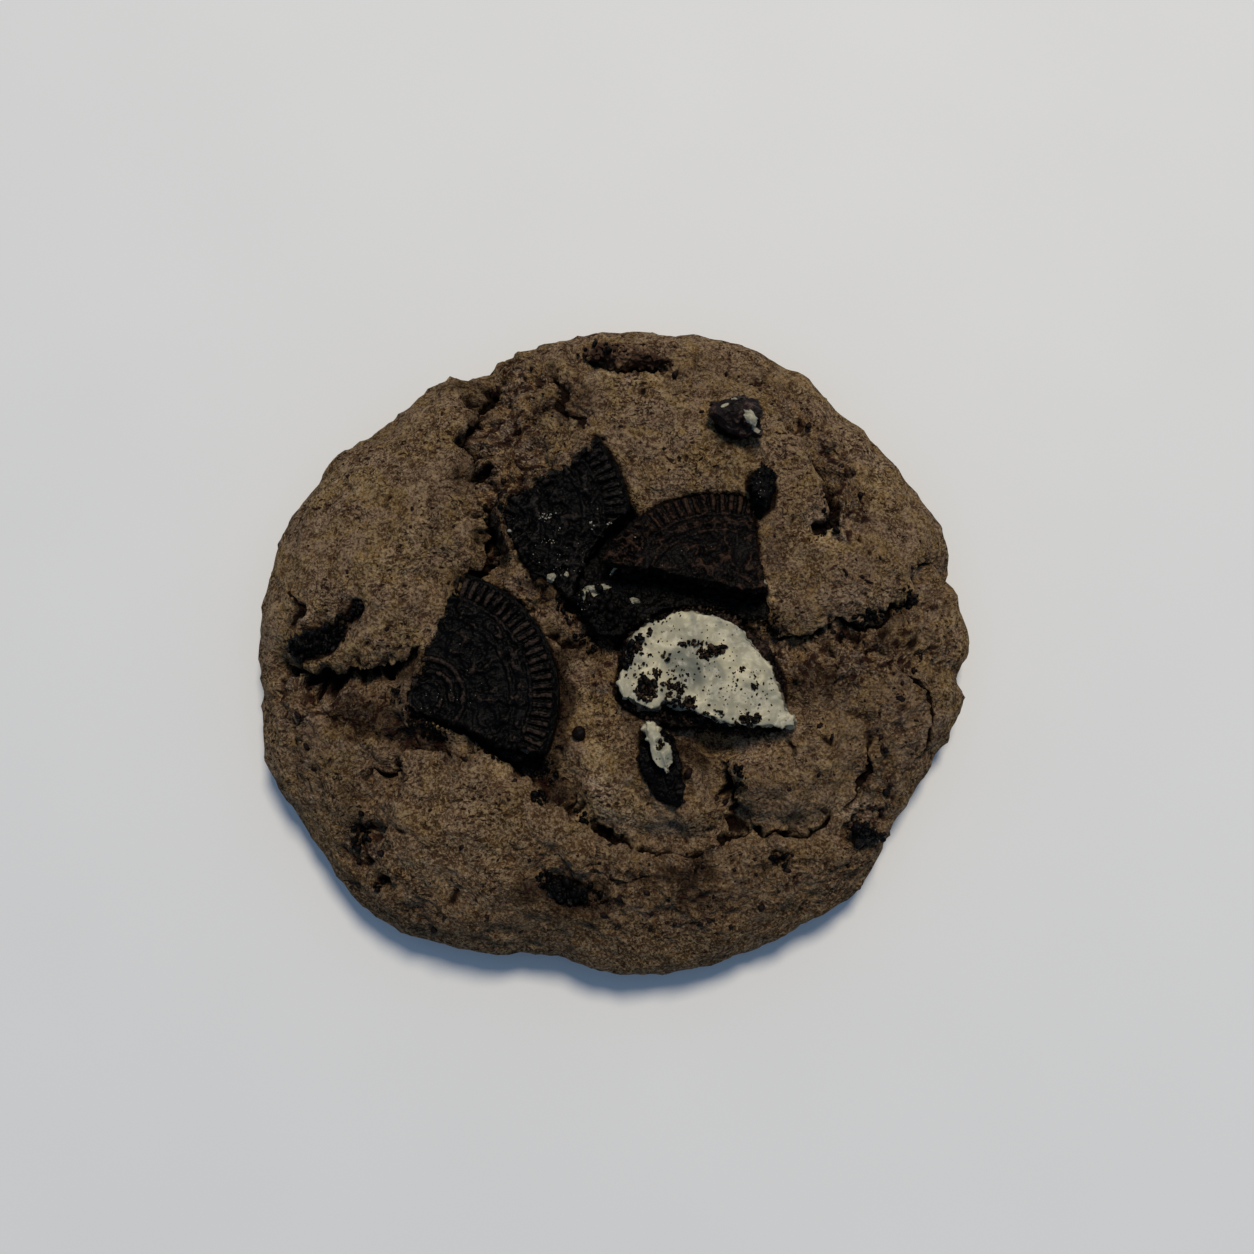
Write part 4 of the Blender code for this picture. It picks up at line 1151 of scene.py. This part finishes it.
def cream_finish():
    made, tree, surface = finish("vanilla_cream", 0.4, 0.3)
    place = millimetres(tree)
    patches = cloud(tree, place, 5, 2, 0.6)
    colour = blend(tree, ramp(tree, patches, 0.42, 0.60), (0.485, 0.435, 0.290, 1), (0.315, 0.295, 0.212, 1))
    # Painted shade, partly: grey on the disc's hollow middle and under the biscuit above, and soiling that is partly
    # dirt and partly shade on the torn sides and under the biscuits.
    colour = blend(tree, attribute(tree, "grey"), colour, (0.175, 0.175, 0.135, 1))
    soiled = sums(tree, "ADD", attribute(tree, "soiled"), ramp(tree, cloud(tree, place, 1.3, 3, 0.5), 0.3, 0.7, -0.3, 0.3))
    colour = blend(tree, ramp(tree, soiled, 0.25, 0.95, 0, 0.92), colour, (0.050, 0.037, 0.025, 1))
    grain = cloud(tree, place, 0.6, 3)
    spots = add(tree, "TexVoronoi", {"Vector": place, "Scale": 1.1})
    picked = ramp(tree, add(tree, "SeparateColor", {0: spots.outputs["Color"]}).outputs[1], 0.66, 0.70)
    spot = sums(tree, "MULTIPLY", ramp(tree, spots.outputs["Distance"], 0.24, 0.14), picked)
    colour = blend(tree, sums(tree, "MULTIPLY", spot, 0.85), colour, (0.045, 0.030, 0.017, 1))
    tree.links.new(colour, surface.inputs["Base Color"])
    surface.inputs["Subsurface Weight"].default_value = 0.15
    surface.inputs["Subsurface Radius"].default_value = (1.0, 0.8, 0.5)
    surface.inputs["Subsurface Scale"].default_value = 1.2 * MM
    raise_bumps(tree, surface, grain, 0.08)
    return made


cream_material = cream_finish()
DISC_DENTS = (
    *((5.7, -11.4, 1.4, 0.9), (15.4, -4.6, 1.6, 0.6), (13.0, -4.2, 1.2, 0.5), (11.5, -8.5, 3.0, 0.6)),
    *((17.5, -9.0, 2.4, 0.3), (9.6, -11.6, 1.4, 0.5)),
)
# Painted shade, mostly: greyed ovals on the disc's hollow middle and along its top under the biscuit above.
DISC_SHADE_GREYS = (
    *((12.5, -8.0, 5.0, 4.0, -20, 0.95), (18.5, -13.0, 6.0, 2.4, -20, 0.6), (11.5, -1.2, 5.0, 1.6, 10, 0.3)),
    *((3.6, -5.0, 2.0, 5.0, -25, 0.6), (9.0, -12.5, 3.0, 2.0, -20, 0.7)),
)
cream_piece("cream_disc", 0.2, 0.8, 0.7, 70, dents=DISC_DENTS, shade_greys=DISC_SHADE_GREYS)
cream_piece("cream_mid", 0.25, 0.3, 0.6, 73, dirt_and_shade=0.5)
cream_piece("cream_left", 0.25, 0.3, 0.6, 76, dirt_and_shade=1.3)
cream_piece("cream_upright", 0.16, 0.7, 0.8, 79, dents=((7.7, -20.6, 0.9, 1.4), (4.9, -20.8, 0.9, 0.9)))

# %% [markdown]
# ## Smears, crumbs and dust
#
# Breaking the biscuits left smears of cream, crumbs and pale dust. Each bit is dropped from above until it meets
# whatever lies highest there: a ray is sent down at every finished piece, and the highest hit counts. A smear is
# a ball of even triangles, flattened and laid over the relief. Crumbs are tiny dented balls, half sunk, in all
# directions, strewn by a seeded generator so that they lie the same way each time.

# %% Find the height of the finished surface
def surfaces(*kinds):
    """Search trees of the finished pieces whose names start so, in millimetres."""
    trees = []
    for piece in scene.objects:
        if piece.name.startswith(kinds):
            bm = bmesh.new()
            bm.from_mesh(piece.data)
            bmesh.ops.scale(bm, vec=(1 / MM, 1 / MM, 1 / MM), verts=bm.verts)
            trees.append(BVHTree.FromBMesh(bm))
            bm.free()
    return trees


def height_at(trees, x, y):
    """The height of the highest surface at a place, or nothing where none is below."""
    hits = [tree.ray_cast(Vector((x, y, 40)), -UP)[0] for tree in trees]
    heights = [hit.z for hit in hits if hit is not None]
    return max(heights) if heights else None


all_pieces = surfaces("cookie", "embossed", "rough", "soft")
print("surface over the middle:", round(height_at(all_pieces, 0, 0), 1), "mm")

# %% Lay the smears of cream
# Each smear: (x, y, half-length, half-width, bearing, thickness)
SMEARS = (
    (-5.3, 5.2, 1.3, 0.6, 65, 0.8),
    (-2.9, 6.6, 2.3, 0.7, 8, 0.8),
    (-3.4, 5.4, 1.2, 0.5, 20, 0.3),
    (3.6, 4.6, 0.9, 0.6, -10, 0.6),
    (-15.4, -22.0, 0.6, 0.4, 20, 0.8),
    (-18.0, -21.3, 0.8, 0.35, -10, 0.8),
    (23.2, 34.9, 1.5, 0.9, -50, 0.3),
    (19.0, 37.6, 0.7, 0.35, 20, 0.2),
    (20.6, 38.4, 0.5, 0.25, -30, 0.2),
    (24.3, 33.4, 0.8, 0.5, -20, 0.25),
    (-10.5, 8.3, 0.9, 0.7, 60, 0.35),
    (-7.9, 8.7, 0.5, 0.35, 90, 0.3),
    (25.6, 7.0, 0.6, 0.35, 80, 0.4),
)


def lay_smear(bm, trees, x, y, long, wide, bearing, thick):
    """Adds one smear: an oval with a ragged outline that follows the surface under it."""
    turn = math.radians(bearing)
    peak = height_at(trees, x, y)
    ball = bmesh.ops.create_icosphere(bm, subdivisions=4, radius=1)["verts"]
    for vert in ball:
        u, v, w = vert.co
        ragged = 1 + 0.35 * noise.fractal(Vector((2 * u + x, 2 * v + y, 0)), 1.0, 2.0, 3)
        u, v = u * long * ragged, v * wide * ragged
        px, py = x + u * math.cos(turn) - v * math.sin(turn), y + u * math.sin(turn) + v * math.cos(turn)
        lumpy = 1 + 0.5 * noise.fractal(Vector((px, py, 3)) * 1.2, 1.0, 2.0, 2)
        under = max(height_at(trees, px, py), peak - 0.7)
        vert.co = (px, py, under + (w * thick * lumpy if w > 0 else 0.3 * w))


smears = bmesh.new()
for smear in SMEARS:
    lay_smear(smears, all_pieces, *smear)
keep_values(smears, "soiled", np.full(len(smears.verts), 0.35))
keep_values(smears, "grey", np.full(len(smears.verts), 0.3))
deliver("cream_smears", smears, cream_material, "cream")

# %% Strew the crumbs and the dust
# Each cluster: (x, y, half-length, half-width, bearing, how many, smallest and largest size)
DISC_CLUSTERS = (
    (16.0, -4.9, 2.6, 0.9, 8, 70, 0.3, 1.2),
    (13.2, -3.4, 2.6, 0.5, 4, 26, 0.3, 1.0),
    (5.6, -11.4, 1.8, 1.9, 0, 110, 0.4, 1.4),
    (7.4, -8.4, 0.8, 0.9, 0, 16, 0.4, 1.0),
    (10.4, -10.6, 1.8, 1.0, -30, 26, 0.3, 1.0),
    (8.8, -5.8, 0.6, 0.5, 0, 5, 0.4, 0.9),
    (21.4, -7.8, 0.8, 0.5, 10, 9, 0.3, 0.8),
    (23.4, -10.4, 0.6, 0.8, 0, 9, 0.3, 0.9),
    (22.6, -16.2, 1.6, 1.4, 0, 30, 0.4, 1.2),
    (16.6, -15.8, 1.8, 1.2, -20, 26, 0.3, 0.9),
    (11.8, -14.4, 2.0, 1.0, -30, 26, 0.3, 0.9),
    (4.8, -7.4, 1.4, 3.4, -22, 26, 0.25, 0.7),
    (12.0, -8.0, 10.0, 8.0, 0, 110, 0.2, 0.6),
    (22.0, -12.0, 5.0, 5.0, 0, 60, 0.2, 0.5),
    (9.5, -9.6, 3.6, 2.6, -10, 40, 0.3, 0.9),
    (3.6, -13.8, 3.4, 0.7, -25, 36, 0.3, 0.9),
    (12.0, -15.6, 4.6, 0.7, -12, 40, 0.3, 1.0),
    (20.0, -17.8, 6.4, 0.7, -3, 70, 0.3, 1.0),
    (7.7, -20.6, 0.7, 0.8, 0, 14, 0.3, 0.8),
    (11.2, -13.2, 2.8, 1.3, -20, 60, 0.3, 1.0),
    (4.6, -3.4, 0.9, 3.0, -34, 22, 0.3, 0.9),
    (9.0, 0.8, 3.0, 0.5, 18, 8, 0.3, 0.7),
)
# Partly painted shade: some clusters, such as those left of the back biscuit's lower edge and above the crack on the
# right, darken places that lie in shade.
DARK_CLUSTERS = (
    (-1.5, 3.0, 5.5, 3.4, -14, 120, 0.4, 1.8),
    (11.5, 4.4, 9.0, 1.5, -10, 80, 0.3, 1.2),
    (-13.4, 9.6, 1.8, 3.6, 40, 44, 0.3, 1.3),
    (27.5, -0.6, 2.4, 0.8, -30, 24, 0.3, 0.9),
    (-7.6, 3.6, 2.6, 2.0, -40, 36, 0.3, 1.1),
    (-11.4, -23.6, 2.6, 1.8, -50, 46, 0.3, 1.1),
    (-24.0, -19.4, 6.0, 0.6, -28, 26, 0.3, 0.7),
    (-31.4, -16.6, 4.4, 1.5, -32, 90, 0.3, 1.3),
    (-17.4, -21.4, 3.4, 1.3, -18, 150, 0.5, 1.4),
    (-36.2, -11.6, 1.6, 1.6, 0, 24, 0.3, 1.0),
    (-19.0, -22.0, 1.2, 0.9, -20, 30, 0.3, 0.9),
    (26.8, 1.6, 2.6, 1.4, 30, 16, 0.3, 0.8),
    (-42.0, -34.0, 1.6, 3.0, -20, 26, 0.6, 1.9),
    (-38.8, -43.0, 1.0, 1.0, 0, 6, 0.6, 1.6),
    (-12.0, -29.0, 1.5, 1.2, -40, 26, 0.5, 1.6),
    (-5.0, -31.6, 1.8, 0.8, -50, 16, 0.4, 1.3),
    (20.6, -25.4, 1.2, 1.8, 0, 18, 0.4, 1.4),
    (37.4, 20.4, 1.6, 4.6, 0, 26, 0.4, 1.5),
    (34.6, 15.4, 1.8, 0.7, 30, 12, 0.4, 1.2),
    (44.0, 2.0, 3.6, 1.2, 10, 28, 0.4, 1.3),
    (36.0, -1.6, 5.0, 1.0, 4, 16, 0.3, 1.1),
    (51.0, 6.0, 1.4, 1.8, 30, 14, 0.4, 1.2),
    (-5.0, -44.0, 5.0, 1.6, -20, 34, 0.4, 1.4),
    (28.0, -38.6, 2.4, 0.9, 0, 16, 0.4, 1.2),
    (-2.0, 51.0, 6.0, 1.4, -6, 26, 0.4, 1.2),
    (-50.0, -2.2, 6.0, 2.4, 22, 44, 0.4, 1.5),
    (-45.6, 1.6, 1.8, 1.2, 50, 16, 0.4, 1.4),
    (-8.4, -43.0, 4.4, 1.8, -18, 40, 0.4, 1.5),
    (42.0, -34.0, 3.4, 1.5, -8, 20, 0.4, 1.4),
    (50.0, 4.4, 2.6, 0.9, 40, 26, 0.4, 1.3),
    (-4.0, -2.6, 3.0, 1.4, -36, 30, 0.3, 1.1),
    (-19.8, 18.0, 1.2, 6.0, 0, 30, 0.3, 1.1),
    (6.2, 1.0, 3.2, 0.6, 20, 36, 0.4, 1.2),
    (2.9, -5.0, 3.6, 1.0, 63, 64, 0.4, 1.4),
)
# Bits of biscuit baked into the open crumb, by its area, and a few all over
CRUMB_SHARE = 0.16
CRUST_CLUSTERS = [(*oval_at[:5], round(oval_at[2] * oval_at[3] * CRUMB_SHARE), 0.4, 1.5) for oval_at in OPEN_CRUMB]
CRUST_CLUSTERS.append((0, 0, 57, 51, 0, 200, 0.3, 1.1))
PALE_CLUSTERS = (
    (-11.3, 18.7, 1.7, 0.8, 10, 22, 0.14, 0.4),
    (-11.3, 14.4, 1.4, 0.7, 0, 10, 0.14, 0.35),
    (-17.6, 16.3, 0.2, 0.2, 0, 3, 0.4, 0.7),
    (-3.7, 17.2, 0.5, 0.9, 0, 6, 0.25, 0.7),
    (-0.5, 17.6, 0.5, 0.5, 0, 3, 0.25, 0.5),
    (-9.0, 12.0, 4.6, 5.0, 40, 26, 0.12, 0.26),
    (-31.0, -13.0, 2.0, 2.0, 0, 6, 0.12, 0.30),
    (-27.0, -8.0, 7.0, 6.0, 0, 10, 0.12, 0.22),
    (10.0, 13.0, 8.0, 4.0, 0, 7, 0.12, 0.22),
    (-3.5, 3.6, 2.6, 1.4, 20, 14, 0.15, 0.4),
    (24.6, 23.0, 1.6, 3.4, 0, 10, 0.12, 0.3),
)
SUNK = 0.3
SHALLOW = 0.12
DEEPER = 0.6


def add_crumb(bm, middle, size, dice, subdivisions=1):
    """Adds one crumb: a small ball, stretched, turned and dented by chance."""
    stretch = Matrix.Diagonal((size * dice.uniform(0.7, 1.6), size, size * dice.uniform(0.6, 1.0), 1))
    angles = [dice.uniform(0, math.tau) for _ in range(3)]
    turned = Matrix.Rotation(angles[0], 4, "Z") @ Matrix.Rotation(0.3 * angles[1], 4, "X") @ stretch
    place = Matrix.Translation(middle) @ turned
    ball = bmesh.ops.create_icosphere(bm, subdivisions=subdivisions, radius=0.5, matrix=place)["verts"]
    for vert in ball:
        vert.co = middle + (vert.co - middle) * dice.uniform(0.7, 1.3)


def strew(name, clusters, trees, seed, material, slot, sunk=SUNK):
    """Makes one piece of all the crumbs of a kind, each dropped on the surface under it and sunk by a share. A
    crumb that would fall beside the cookie is left out."""
    dice = random.Random(seed)
    bm = bmesh.new()
    for x, y, long, wide, bearing, count, small, large in clusters:
        turn = math.radians(bearing)
        for _ in range(count):
            out, about = math.sqrt(dice.random()), dice.uniform(0, math.tau)
            u, v = out * math.cos(about) * long, out * math.sin(about) * wide
            px, py = x + u * math.cos(turn) - v * math.sin(turn), y + u * math.sin(turn) + v * math.cos(turn)
            size = small + (large - small) * dice.random() ** 2.5
            under = height_at(trees, px, py)
            if under is not None:
                add_crumb(bm, Vector((px, py, under + (0.5 - sunk) * size * 0.7)), size, dice)
    keep_values(bm, "high", np.array([dice.random() for _ in bm.verts]))
    return deliver(name, bm, material, slot)


everything = all_pieces + surfaces("cream_smears")
brown_crumbs = biscuit_finish("brown_crumbs", (0.060, 0.036, 0.020, 1), 0.0)
strew("disc_crumbs", DISC_CLUSTERS, everything, 4, brown_crumbs, "biscuit", SHALLOW)
strew("dark_crumbs", DARK_CLUSTERS, everything, 5, black_biscuit, "biscuit")
strew("baked_crumbs", CRUST_CLUSTERS, surfaces("cookie"), 6, baked, "biscuit", DEEPER)
dust, tree, surface = finish("pale_dust", 0.7, 0.2)
powder = blend(tree, cloud(tree, millimetres(tree), 0.5), (0.24, 0.22, 0.18, 1), (0.40, 0.37, 0.30, 1))
tree.links.new(powder, surface.inputs["Base Color"])
strew("pale_dust", PALE_CLUSTERS, everything, 7, dust, "cream")

# %% The round bit beside the left biscuit
ROUND_BIT = (-5.6, -18.1)
bit = bmesh.new()
middle = Vector((*ROUND_BIT, height_at(all_pieces, *ROUND_BIT) + 0.3))
for vert in bmesh.ops.create_icosphere(bit, subdivisions=4, radius=1.15)["verts"]:
    vert.co = middle + vert.co * (1 + 0.14 * noise.fractal(vert.co * 1.4, 1.0, 2.0, 4))
keep_values(bit, "high", 0.25 + 0.5 * waves(points_of(bit), 0.8, 2))
deliver("round_bit", bit, baked, "biscuit")
